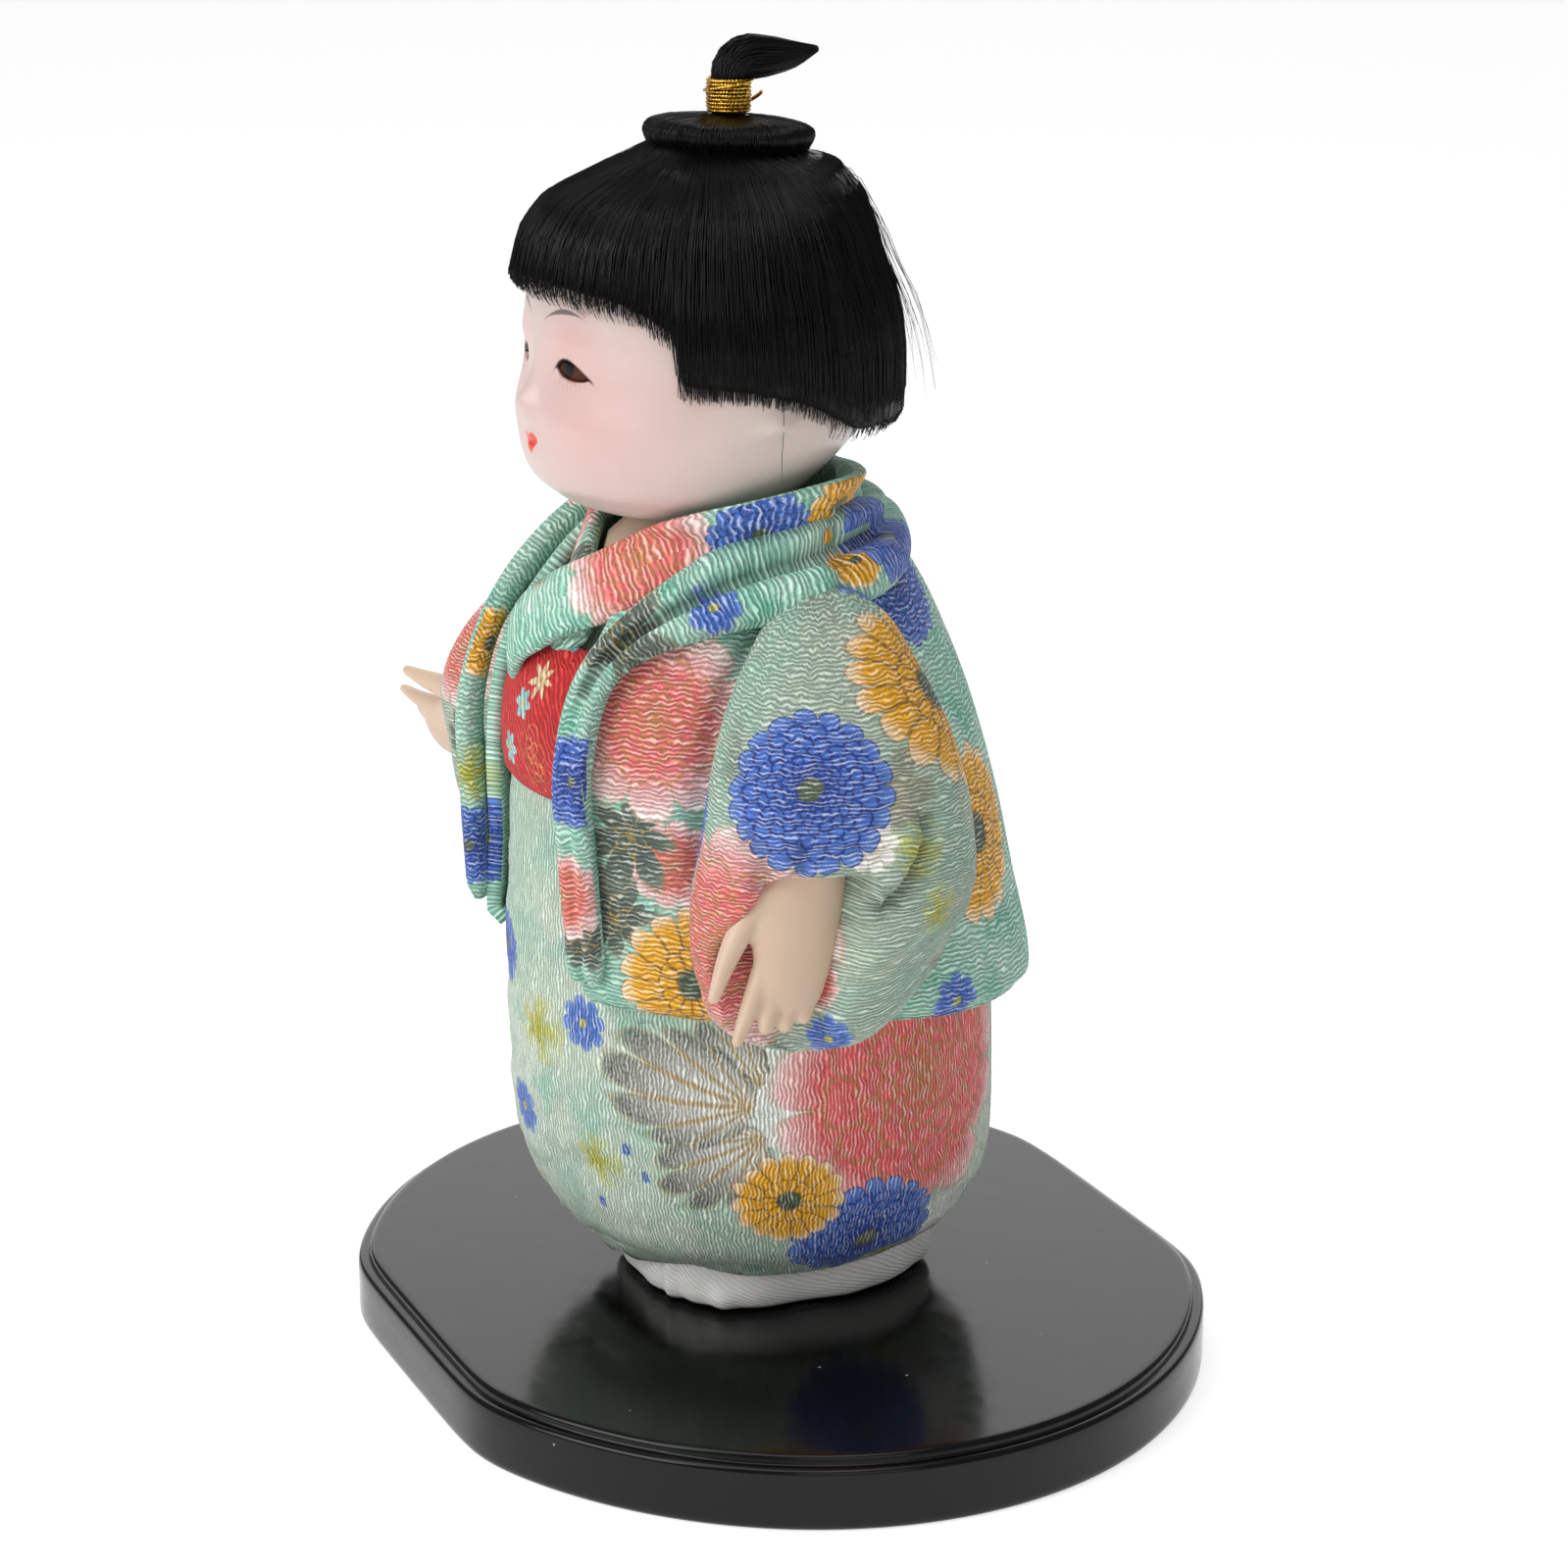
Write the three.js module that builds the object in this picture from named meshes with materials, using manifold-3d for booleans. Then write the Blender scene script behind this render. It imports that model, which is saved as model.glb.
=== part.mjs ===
import * as THREE from 'three';
import { mergeVertices } from 'three/addons/utils/BufferGeometryUtils.js';
import Module from 'manifold-3d';

const wasm = await Module();
wasm.setup();

// Sizes are in mm. +Z is up, the doll faces -Y and its left side is +X.
// Heights of the doll count up from the top of the board.

// Fits
const GAP = 0.3; // between pieces that are glued, sewn or worn
const SWING_GAP = 0.8; // round a piece that moves

// Lacquered board and its two screws
const BOARD_WIDTH = 160;
const BOARD_DEPTH = 133;
const BOARD_FLAT_CUT = 4.5; // what each flat, front and back, takes off the oval
const BOARD_THICKNESS = 12;
const RIM_INSET = 2;
const RIM_DROP = 1.6;
const SCREW_SHANK = 3.5;
const SCREW_HEAD = 7.5;
const SCREW_HEAD_HEIGHT = 2.4;
const SCREW_LENGTH = 18;
const SCREW_RECESS = 0.8;
const SCREW_SPACING = 26;

// Sole
const SOLE_WIDTH = 45;
const SOLE_DEPTH = 52;
const SOLE_TOP = 12;
const COVER_WALL = 1.2;
const COVER_TOP = 10;

// Robe: height, half width, front, back of its outside
const ROBE_WALL = 1.6;
const HEM_HEIGHT = 7.5;
const HEM_EASE = 0.7; // between the hem and the sole
const ROBE_OUTLINE = [
  [11.5, 33, -36, 32],
  [19, 38.2, -41, 34.5],
  [33, 41, -43.3, 35.5],
  [53, 41.5, -44, 35],
  [78, 39.5, -43.5, 31],
  [93, 36.5, -42.5, 26.5],
  [108, 32, -40, 20.5],
  [115, 28.5, -36.5, 17.5],
  [121, 24.5, -31.5, 14.5],
  [127, 20, -28, 9.5],
];

// Obi
const OBI_BASE_HEIGHT = 90;
const OBI_HEIGHT = 24;
const OBI_THICKNESS = 4.2;
const OBI_EDGE = 2.4;

// Haori: height, half width, front, back of its outside
const HAORI_WALL = 2;
const HAORI_HEM = 57; // at the doll's side
const HAORI_HEM_SLOPE = 0.13; // the hem drops to the back
const HAORI_OUTLINE = [
  [40, 45.5, -46.5, 43.5],
  [60, 45, -47.3, 41],
  [78, 44, -48.3, 37.8],
  [93, 42.3, -48.8, 34],
  [103, 40, -47.8, 31],
  [113, 36.8, -44.5, 27],
  [121, 33.2, -39, 22.8],
  [128, 28.8, -32.5, 18],
  [132, 24, -28, 15],
  [135, 18.5, -25, 13],
];
const OPENING_OUTLINE = [
  [15, 140],
  [14.5, 129],
  [17, 113],
  [19.5, 90],
  [21.5, 40],
];

// Collars: run of the left half from the back of the neck to the front
const COLLAR_WIDTH = 10;
const COLLAR_THICKNESS = 3;
const COLLAR_CROSSING = 3.6; // left lies over right
const COLLAR_RUN = [
  [0, 15.5, 135],
  [15, 10.5, 134.8],
  [24.5, -7, 134],
  [21.5, -22, 130.5],
  [11.5, -35.5, 122.5],
  [-3, -41, 116.6],
];
const BAND_WIDTH = 12;
const BAND_THICKNESS = 3.6;
const BAND_RUN = [
  [0, 17.8, 131],
  [15, 13, 131],
  [25.5, -4, 131],
  [25.5, -22, 127],
  [20.5, -41.5, 113],
  [21, -46, 99],
  [21.5, -45.5, 84],
  [22, -44.2, 66],
];

// Sleeves: height, middle out from the body, middle front to back, half thickness, half width
const LEFT_SLEEVE_OUTLINE = [
  [60, 53.5, -17, 5.5, 8],
  [63.5, 53.5, -16.5, 10.5, 15.5],
  [71, 53, -15.5, 13.5, 20.5],
  [82, 52.5, -14.5, 15.3, 22.8],
  [93, 51, -13.5, 15.7, 22.4],
  [103, 48.5, -13, 15.3, 20.8],
  [113, 44, -12, 13.5, 17],
  [121, 38.8, -10.5, 10.4, 12.8],
  [126.5, 35, -9, 7, 8.5],
  [129.5, 33, -8.5, 3.5, 4.5],
];
const RIGHT_SLEEVE_OUTLINE = [
  [60, 48.5, -20, 5.5, 8],
  [63.5, 48.5, -20, 10, 13],
  [71, 49.5, -19.5, 12.5, 17],
  [82, 51, -18.5, 14.5, 20],
  [93, 52, -17, 15.5, 21.8],
  [103, 49.5, -15.5, 15.1, 20.8],
  [113, 44.5, -13.2, 13.3, 17],
  [121, 38.8, -11, 10.4, 12.8],
  [126.5, 35, -9, 7, 8.5],
  [129.5, 33, -8.5, 3.5, 4.5],
];

// Arms
const WIRE_DIAMETER = 1.6;
const SHOULDER_BALL = 4.4;
const WRIST_BALL = 3.6;
const ARM_PAD_DIAMETER = 11;
const PAD_START = 9; // from the shoulder ball
const SHOULDER_OUT = 21;
const SHOULDER_HEIGHT = 120;
const SHOULDER_Y = -10;
const SHOULDER_SWING = 25; // degrees, outward
const LEFT_ELBOW = new THREE.Vector3(45, -14, 106);
const LEFT_WRIST = new THREE.Vector3(58, -21.5, 90);
const LEFT_POINTING = new THREE.Vector3(0.195, -0.293, -0.937);
const LEFT_THUMB = new THREE.Vector3(0, -1, 0);
const LEFT_WRIST_SWING = [0, 30];
const RIGHT_ELBOW = new THREE.Vector3(-45, -16, 105);
const RIGHT_WRIST = new THREE.Vector3(-55, -28.5, 83);
const RIGHT_POINTING = new THREE.Vector3(-0.95, -0.22, -0.15);
const RIGHT_THUMB = new THREE.Vector3(0.1, -0.35, 0.93);
const RIGHT_WRIST_SWING = [-20, 10];

// Hand, from the wrist ball: how far along, half thickness, half width
const WRIST_ROUND = 10;
const PALM_OUTLINE = [
  [0, 4, 4.9],
  [6, 4.2, 6],
  [12, 4, 6.6],
  [17, 3.3, 6],
];
// Fingers: side and along where each starts, the same where it ends, first and last radius.
// The thumb is on the minus side.
const FINGER_OUTLINE = [
  [-4, 8, -9.2, 20.5, 2.5, 1.5],
  [-3.4, 15, -4.6, 27, 2.1, 1.2],
  [-0.6, 15, -1.2, 25.5, 2.2, 1.3],
  [2, 14, 1.8, 23.5, 2.1, 1.3],
  [4.2, 13, 4.2, 20, 2, 1.2],
];
const FINGER_CURL_DEPTH = 0.6; // how far a fingertip bends to the palm's side

// Room round the hand: along, half thickness, half width, middle
const HAND_ROOM_OUTLINE = [
  [-6, 3, 3, 0],
  [-1, 5, 5, 0],
  [8, 4.8, 7, -0.6],
  [16, 4.4, 8.2, -2],
  [22, 3.6, 8.4, -2.6],
  [28.5, 2, 4, -3.6],
];

// Head: height, half width, front, back
const HEAD_WALL = 3.2;
const HEAD_MIDDLE = 158;
const HEAD_OUTLINE = [
  [133, 11, -25, 0],
  [135, 18.5, -33, 7],
  [138, 24, -37.8, 11.5],
  [143, 28.4, -41, 15.5],
  [149, 30.8, -42.6, 17.6],
  [156, 31.3, -42.8, 18],
  [164, 30.9, -42.8, 17.4],
  [172, 28.9, -41, 15.5],
  [180, 23.4, -35.5, 10.5],
  [185.5, 15, -27, 3.6],
  [188, 7, -18.5, -4.5],
];
const NOSE = new THREE.Vector3(0, -42.4, 151.5);
const NOSE_SIZE = new THREE.Vector3(3, 2.6, 4.4);
const EYE_OUT = 11;
const EYE_HEIGHT = 159;
const EYE_SINK_DEPTH = 0.55; // of the eyeball's front behind the face
const EYE_DIAMETER = 12.4;
const EYE_SLIT_WIDTH = 8.6;
const EYE_SLIT_HEIGHT = 3.8;

// Neck and its peg
const NECK_Y = -12;
const NECK_BASE_RADIUS = 17;
const NECK_TOP_RADIUS = 11.5;
const PEG_DIAMETER = 8;
const PEG_DEPTH = 24; // in the body
const PLUG_DIAMETER = 13;
const PLUG_LENGTH = 9; // in the head

// Hair
const HAIR_THICKNESS = 2;
const HAIR_CUT = [
  [-70, 170],
  [-44, 169.4],
  [-36, 168.4],
  [-29.3, 166],
  [-29.3, 156.7],
  [-18, 155.6],
  [-8, 153],
  [2, 149.3],
  [14, 148.4],
  [40, 148],
  [40, 100],
  [-70, 100],
];
const KNOT_Y = -8;
const DISC_BOTTOM = 187;
const DISC_RADIUS = 14.6;
const DISC_RIM_LOW = 189.2;
const DISC_RIM_TOP = 193;
const DISC_TOP = 194.4;
const DISC_TILT = 3; // degrees, down at the back
const TAIL_NECK_RADIUS = 2.7;
// Tail: y from the knot, height above the tie, radius
const TAIL_OUTLINE = [
  [0, 0, 2.7],
  [0, 1, 3.4],
  [-0.6, 2.1, 4.6],
  [1.4, 3.6, 4.6],
  [5.4, 4, 3.6],
  [10, 3.4, 2.3],
  [14, 2.2, 0.8],
];
const THREAD_DIAMETER = 0.6;
const THREAD_PITCH = 1.05;
const THREAD_LOOPS = 5;

// Mesh fineness
const AROUND = 20;
const SLIM_AROUND = 12;
const COARSE_AROUND = 8;
const BLUNT = 0.7; // how far a round end stands out, as a share of its radius

const COLOURS = {
  black_lacquer: { color: '#0c0c0d', roughness: 0.18, metalness: 0 },
  steel_screw: { color: '#9a9a98', roughness: 0.35, metalness: 1 },
  bare_wood: { color: '#c8a271', roughness: 0.7, metalness: 0 },
  white_satin: { color: '#e6e4dc', roughness: 0.45, metalness: 0 },
  stuffing: { color: '#d9cfb8', roughness: 0.95, metalness: 0 },
  green_crepe: { color: '#7fb39a', roughness: 0.85, metalness: 0 },
  red_brocade: { color: '#9e2f2c', roughness: 0.6, metalness: 0 },
  pale_vinyl: { color: '#ecd9c2', roughness: 0.5, metalness: 0 },
  painted_face: { color: '#f0d9c8', roughness: 0.45, metalness: 0 },
  brown_glass: { color: '#3a1d12', roughness: 0.05, metalness: 0 },
  black_hair: { color: '#121214', roughness: 0.4, metalness: 0 },
  gold_thread: { color: '#b98b3e', roughness: 0.35, metalness: 0.8 },
  steel_wire: { color: '#8d8f90', roughness: 0.4, metalness: 1 },
};

function solidOf(geometry) {
  const bare = geometry.clone();
  bare.deleteAttribute('normal');
  bare.deleteAttribute('uv');
  const merged = mergeVertices(bare, 1e-4);
  const mesh = new wasm.Mesh({
    numProp: 3,
    vertProperties: new Float32Array(merged.attributes.position.array),
    triVerts: new Uint32Array(merged.index.array),
  });
  return new wasm.Manifold(mesh);
}

function geometryOf(solid) {
  const mesh = solid.getMesh();
  const geometry = new THREE.BufferGeometry();
  geometry.setAttribute('position', new THREE.BufferAttribute(mesh.vertProperties, 3));
  geometry.setIndex(new THREE.BufferAttribute(mesh.triVerts, 1));
  return geometry;
}

function part(name, slot, solid) {
  const geometry = geometryOf(solid);
  geometry.computeVertexNormals();
  const node = new THREE.Mesh(geometry, new THREE.MeshStandardMaterial(COLOURS[slot]));
  node.material.name = slot;
  node.name = name;
  return node;
}

const cut = (solid, ...tools) => tools.reduce((left, tool) => left.subtract(tool), solid);
const joined = (first, ...others) => others.reduce((sum, next) => sum.add(next), first);

// A skin over closed rings that lie one above the other, closed at both ends.
function loft(rings) {
  const count = rings[0].length;
  const points = rings.flat();
  const faces = [];
  for (let i = 0; i + 1 < rings.length; i += 1) {
    for (let j = 0; j < count; j += 1) {
      const a = i * count + j;
      const b = i * count + ((j + 1) % count);
      faces.push(a, b, b + count, a, b + count, a + count);
    }
  }
  const middle = (ring) => {
    const sum = ring.reduce((total, point) => total.add(point), new THREE.Vector3());
    return sum.divideScalar(count);
  };
  const low = points.push(middle(rings[0])) - 1;
  const high = points.push(middle(rings.at(-1))) - 1;
  const top = (rings.length - 1) * count;
  for (let j = 0; j < count; j += 1) {
    const next = (j + 1) % count;
    faces.push(low, next, j, high, top + j, top + next);
  }
  const geometry = new THREE.BufferGeometry().setFromPoints(points);
  geometry.setIndex(faces);
  return geometry;
}

// Values of an outline table between its rows.
function between(outline) {
  const width = outline[0].length - 1;
  const heights = outline.map((row) => row[0]);
  const values = outline.flatMap((row) => row.slice(1));
  const curve = new THREE.CubicInterpolant(heights, values, width);
  return (height) => [...curve.evaluate(height)];
}

function oval(x, y, halfX, halfY, height, count, power = 2) {
  const ring = [];
  for (let j = 0; j < count; j += 1) {
    const turn = (j / count) * 2 * Math.PI;
    const c = Math.cos(turn);
    const s = Math.sin(turn);
    const px = Math.sign(c) * Math.abs(c) ** (2 / power);
    const py = Math.sign(s) * Math.abs(s) ** (2 / power);
    ring.push(new THREE.Vector3(x + halfX * px, y + halfY * py, height));
  }
  return ring;
}

const steps = (from, to, count) =>
  Array.from({ length: count + 1 }, (_, i) => from + ((to - from) * i) / count);

// A worn form: ovals given by half width, front and back, made larger by grow.
function worn(outline, from, to, count, grow) {
  const at = between(outline);
  const rings = steps(from, to, count).map((height) => {
    const [half, front, back] = at(height);
    return oval(0, (front + back) / 2, half + grow, (back - front) / 2 + grow, height, AROUND);
  });
  return solidOf(loft(rings));
}

const robeOutline = [
  [
    HEM_HEIGHT,
    SOLE_WIDTH / 2 + HEM_EASE + ROBE_WALL,
    -SOLE_DEPTH / 2 - HEM_EASE - ROBE_WALL - 1,
    SOLE_DEPTH / 2 + HEM_EASE + ROBE_WALL - 1,
  ],
  ...ROBE_OUTLINE,
];
const ROBE_TOP = robeOutline.at(-1)[0];
const CORE_TOP = ROBE_TOP - 1;
const robeForm = (grow) => worn(robeOutline, HEM_HEIGHT, ROBE_TOP, 11, grow);

const haoriTop = HAORI_OUTLINE.at(-1)[0];
const haoriForm = (grow) => worn(HAORI_OUTLINE, HAORI_OUTLINE[0][0], haoriTop, 9, grow);

const headBottom = HEAD_OUTLINE[0][0];
const headTop = HEAD_OUTLINE.at(-1)[0];
function headForm(grow, around = AROUND, count = 13) {
  const at = between(HEAD_OUTLINE);
  const spread = (height) => {
    const half = (height > HEAD_MIDDLE ? headTop : headBottom) - HEAD_MIDDLE;
    return HEAD_MIDDLE + (height - HEAD_MIDDLE) * (1 + grow / Math.abs(half));
  };
  const rings = steps(0, 1, count).map((share) => {
    const height = headBottom + (headTop - headBottom) * (1 - Math.cos(Math.PI * share)) * 0.5;
    const [half, front, back] = at(height);
    const depth = (back - front) / 2 + grow;
    return oval(0, (front + back) / 2, half + grow, depth, spread(height), around);
  });
  return solidOf(loft(rings));
}

// The room that the head needs when it turns: its lower half spun about the neck.
function headRoom(grow) {
  const at = between(HEAD_OUTLINE);
  const profile = [[0, headBottom - grow]];
  steps(headBottom, HEAD_MIDDLE, 8).forEach((height) => {
    const [half, front, back] = at(height);
    const reach = Math.max(half, NECK_Y - front, back - NECK_Y);
    profile.push([reach + grow, height - grow]);
  });
  profile.push([0, HEAD_MIDDLE - grow]);
  return spun(profile, 0, NECK_Y, AROUND);
}

// A spun form about an upright axis: profile of [radius, height] from bottom to top.
function spun(profile, x, y, count = 24) {
  const points = profile.map(([radius, height]) => new THREE.Vector2(radius, height));
  const geometry = new THREE.LatheGeometry(points, count);
  geometry.rotateX(Math.PI / 2);
  geometry.translate(x, y, 0);
  return solidOf(geometry);
}

function ball(centre, radius, around = 12) {
  const geometry = new THREE.SphereGeometry(radius, around, around - 4);
  geometry.translate(centre.x, centre.y, centre.z);
  return solidOf(geometry);
}

// A round bar along a line of points with a radius at each, with bluntly rounded ends.
function bar(points, radii, count) {
  const first = points[1].clone().sub(points[0]).normalize();
  const last = points.at(-1).clone().sub(points.at(-2)).normalize();
  const places = [
    points[0].clone().addScaledVector(first, -BLUNT * radii[0]),
    ...points,
    points.at(-1).clone().addScaledVector(last, BLUNT * radii.at(-1)),
  ];
  const sizes = [0.6 * radii[0], ...radii, 0.6 * radii.at(-1)];
  let side = new THREE.Vector3(1, 0, 0);
  if (Math.abs(first.x) > 0.8) {
    side = new THREE.Vector3(0, 1, 0);
  }
  const rings = places.map((place, i) => {
    const before = places[Math.max(i - 1, 0)];
    const after = places[Math.min(i + 1, places.length - 1)];
    const along = after.clone().sub(before).normalize();
    side = side.clone().addScaledVector(along, -side.dot(along)).normalize();
    const other = along.clone().cross(side);
    return oval(0, 0, sizes[i], sizes[i], 0, count).map((point) =>
      place.clone().addScaledVector(side, point.x).addScaledVector(other, point.y));
  });
  return solidOf(loft(rings));
}

// A padded strip of cloth along a run of points, flat side away from the body's axis.
function strip(run, width, thickness, grow, count) {
  const curve = new THREE.CatmullRomCurve3(run.map((point) => new THREE.Vector3(...point)));
  const rings = steps(0, 1, count).map((share) => {
    const place = curve.getPointAt(share);
    const along = curve.getTangentAt(share);
    const out = new THREE.Vector3(place.x, place.y - NECK_Y, 8);
    out.addScaledVector(along, -out.dot(along)).normalize();
    const across = along.clone().cross(out);
    const end = share === 0 ? -grow : share === 1 ? grow : 0;
    return oval(0, 0, thickness / 2 + grow, width / 2 + grow, 0, 10, 2.6).map((point) =>
      place.clone()
        .addScaledVector(along, end)
        .addScaledVector(out, point.x)
        .addScaledVector(across, point.y));
  });
  return solidOf(loft(rings));
}

const mirrored = (run) => run.map(([x, y, z]) => [-x, y, z]);

// Board
function boardOutline(inset) {
  const halfX = BOARD_WIDTH / 2 - inset;
  const halfY = BOARD_DEPTH / 2 + BOARD_FLAT_CUT - inset;
  const turn = Math.asin((BOARD_DEPTH / 2 - inset) / halfY);
  const shape = new THREE.Shape();
  shape.absellipse(0, 0, halfX, halfY, -turn, turn, false, 0);
  shape.absellipse(0, 0, halfX, halfY, Math.PI - turn, Math.PI + turn, false, 0);
  return shape;
}

function slab(shape, height, segments) {
  return solidOf(new THREE.ExtrudeGeometry(shape, {
    depth: height,
    bevelEnabled: false,
    curveSegments: segments,
  }));
}

function screw(y, lift, grow, tail) {
  const shank = SCREW_SHANK / 2 + grow;
  const head = SCREW_HEAD / 2 + grow;
  const profile = [
    [0, -tail],
    [head, -tail],
    [head, 0.6],
    [shank, SCREW_HEAD_HEIGHT],
    [shank, SCREW_LENGTH - 4],
    [0, SCREW_LENGTH + grow],
  ];
  return spun(profile.map(([radius, height]) => [radius, height + lift]), 0, y, 18);
}

const screwYs = { front: -SCREW_SPACING / 2, rear: SCREW_SPACING / 2 };
const screwRoom = (lift) => joined(
  screw(screwYs.front, lift, GAP, BOARD_THICKNESS),
  screw(screwYs.rear, lift, GAP, BOARD_THICKNESS),
);
const board = cut(
  joined(
    slab(boardOutline(0), BOARD_THICKNESS - RIM_DROP, 18),
    slab(boardOutline(RIM_INSET), BOARD_THICKNESS, 18),
  ),
  screwRoom(SCREW_RECESS),
);
const base = new THREE.Group();
base.name = 'base';
base.add(part('base_board', 'black_lacquer', board));
Object.entries(screwYs).forEach(([end, y]) => {
  base.add(part(`base_screw_${end}`, 'steel_screw', screw(y, SCREW_RECESS, 0, 0)));
});

// Sole
const solePower = 2.5;
function soleForm(grow, rows) {
  const rings = rows.map(([height, inset]) => {
    const half = SOLE_WIDTH / 2 - inset + grow;
    return oval(0, -0.5, half, SOLE_DEPTH / 2 - inset + grow, height, AROUND, solePower);
  });
  return solidOf(loft(rings));
}
const soleScrews = screwRoom(SCREW_RECESS - BOARD_THICKNESS);
const blockInset = COVER_WALL + GAP;
const blockBottom = COVER_WALL + 2 * GAP;
const soleBlock = cut(
  soleForm(0, [[blockBottom, blockInset + 1], [blockBottom + 1.4, blockInset], [SOLE_TOP, blockInset]]),
  soleScrews,
);
const coverRoom = soleForm(GAP, [
  [blockBottom - GAP, blockInset + 1],
  [blockBottom + 1.4 - GAP, blockInset],
  [SOLE_TOP + 5, blockInset],
]);
const soleCover = cut(
  soleForm(0, [[GAP, 1.4], [1.8, 0.3], [4, 0], [COVER_TOP, 0]]),
  coverRoom,
  soleScrews,
);

// Arms and hands, needed first because other pieces make room for them
const sides = { left: 1, right: -1 };
const wrists = { left: LEFT_WRIST, right: RIGHT_WRIST };
const elbows = { left: LEFT_ELBOW, right: RIGHT_ELBOW };
const shoulders = {
  left: new THREE.Vector3(SHOULDER_OUT, SHOULDER_Y, SHOULDER_HEIGHT),
  right: new THREE.Vector3(-SHOULDER_OUT, SHOULDER_Y, SHOULDER_HEIGHT),
};

// The arm's line, shortened at both ends.
function onArm(side, fromShoulder, fromWrist) {
  const elbow = elbows[side];
  const upper = elbow.clone().sub(shoulders[side]).normalize();
  const lower = wrists[side].clone().sub(elbow).normalize();
  return [
    shoulders[side].clone().addScaledVector(upper, fromShoulder),
    elbow,
    wrists[side].clone().addScaledVector(lower, -fromWrist),
  ];
}

function armWire(side) {
  const radius = WIRE_DIAMETER / 2;
  return joined(
    bar(onArm(side, 0, 0), [radius, radius, radius], COARSE_AROUND),
    ball(shoulders[side], SHOULDER_BALL / 2, 10),
    ball(wrists[side], WRIST_BALL / 2, 10),
  );
}

function armPad(side, grow, around) {
  const radius = ARM_PAD_DIAMETER / 2 + grow;
  const end = WRIST_ROUND / 2 + SWING_GAP + BLUNT * (ARM_PAD_DIAMETER / 2);
  return bar(onArm(side, PAD_START - grow, end - grow), [radius * 0.85, radius, radius * 0.9], around);
}

const wireRoom = (side, grow) => {
  const radius = WIRE_DIAMETER / 2 + grow;
  return bar(onArm(side, 0, 0), [radius, radius, radius], COARSE_AROUND);
};

// The room of a limb that swings outward about a pivot. Each row holds the distance, half width
// along the hinge, half width across it, and how far the middle is off along and across.
function fan(side, pivot, along, [least, most], rows) {
  const axis = new THREE.Vector3(0, -sides[side], 0);
  const middle = THREE.MathUtils.degToRad((least + most) / 2);
  const spread = Math.tan(THREE.MathUtils.degToRad((most - least) / 2));
  const line = along.clone().normalize().applyAxisAngle(axis, middle);
  const across = axis.clone().cross(line).normalize();
  const flat = across.clone().cross(line);
  const rings = rows.map(([distance, wide, deep, offFlat = 0, offAcross = 0]) => {
    const open = deep + Math.max(distance, 0) * spread;
    return oval(offFlat, offAcross, wide, open, 0, 12, 3.5).map((point) => pivot.clone()
      .addScaledVector(line, distance)
      .addScaledVector(flat, point.x)
      .addScaledVector(across, point.y));
  });
  return solidOf(loft(rings));
}

// Puts what is modelled along -Z, thumb to -Y, on its wrist.
function onWrist(side, geometry) {
  const placed = geometry.clone();
  if (side === 'right') {
    placed.scale(-1, 1, 1);
    placed.setIndex([...placed.index.array].reverse());
  }
  const pointing = (side === 'left' ? LEFT_POINTING : RIGHT_POINTING).clone().normalize();
  const thumb = (side === 'left' ? LEFT_THUMB : RIGHT_THUMB).clone();
  const zAxis = pointing.clone().negate();
  const yAxis = thumb.addScaledVector(pointing, -thumb.dot(pointing)).normalize().negate();
  const xAxis = yAxis.clone().cross(zAxis);
  placed.applyMatrix4(new THREE.Matrix4().makeBasis(xAxis, yAxis, zAxis).setPosition(wrists[side]));
  return solidOf(placed);
}

function handForm(side) {
  const palm = loft(PALM_OUTLINE.map(([along, thick, wide]) =>
    oval(0, 0, thick, wide, -along, 14, 2.3)).reverse());
  const fingers = FINGER_OUTLINE.map(([side0, along0, side1, along1, start, end]) => bar(
    [
      new THREE.Vector3(0, side0, -along0),
      new THREE.Vector3(-FINGER_CURL_DEPTH, side1, -along1),
    ],
    [start, end],
    COARSE_AROUND,
  ));
  const whole = joined(solidOf(palm), ball(new THREE.Vector3(), WRIST_ROUND / 2), ...fingers);
  return onWrist(side, geometryOf(whole));
}

const wristSwings = { left: LEFT_WRIST_SWING, right: RIGHT_WRIST_SWING };
const armRoom = (side) => {
  const wire = WIRE_DIAMETER / 2 + SWING_GAP;
  const pad = ARM_PAD_DIAMETER / 2 + SWING_GAP;
  const along = elbows[side].clone().sub(shoulders[side]);
  const start = PAD_START - pad;
  const rows = [
    [0, wire, wire],
    [start, wire, wire],
    [start + 0.2, pad, pad],
    [PAD_START + 18, pad, pad],
  ];
  return joined(
    ball(shoulders[side], SHOULDER_BALL / 2 + GAP, 10),
    fan(side, shoulders[side], along, [0, SHOULDER_SWING], rows),
  );
};
// The left thumb lies along its hinge, the right thumb across it.
const handRoom = (side) => {
  const rows = HAND_ROOM_OUTLINE.map(([along, thick, wide, middle]) => {
    const half = [wide + SWING_GAP, thick + SWING_GAP];
    return side === 'left' ? [along, ...half, middle, 0] : [along, half[1], half[0], 0, -middle];
  });
  const pointing = side === 'left' ? LEFT_POINTING : RIGHT_POINTING;
  return fan(side, wrists[side], pointing, wristSwings[side], rows);
};
const wristSocket = (side) => {
  const [least, most] = wristSwings[side];
  const wire = WIRE_DIAMETER / 2 + SWING_GAP;
  const along = elbows[side].clone().sub(wrists[side]);
  return joined(
    ball(wrists[side], WRIST_BALL / 2 + GAP, 10),
    fan(side, wrists[side], along, [-most, -least], [[0, wire, wire], [WRIST_ROUND, wire, wire]]),
  );
};

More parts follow.
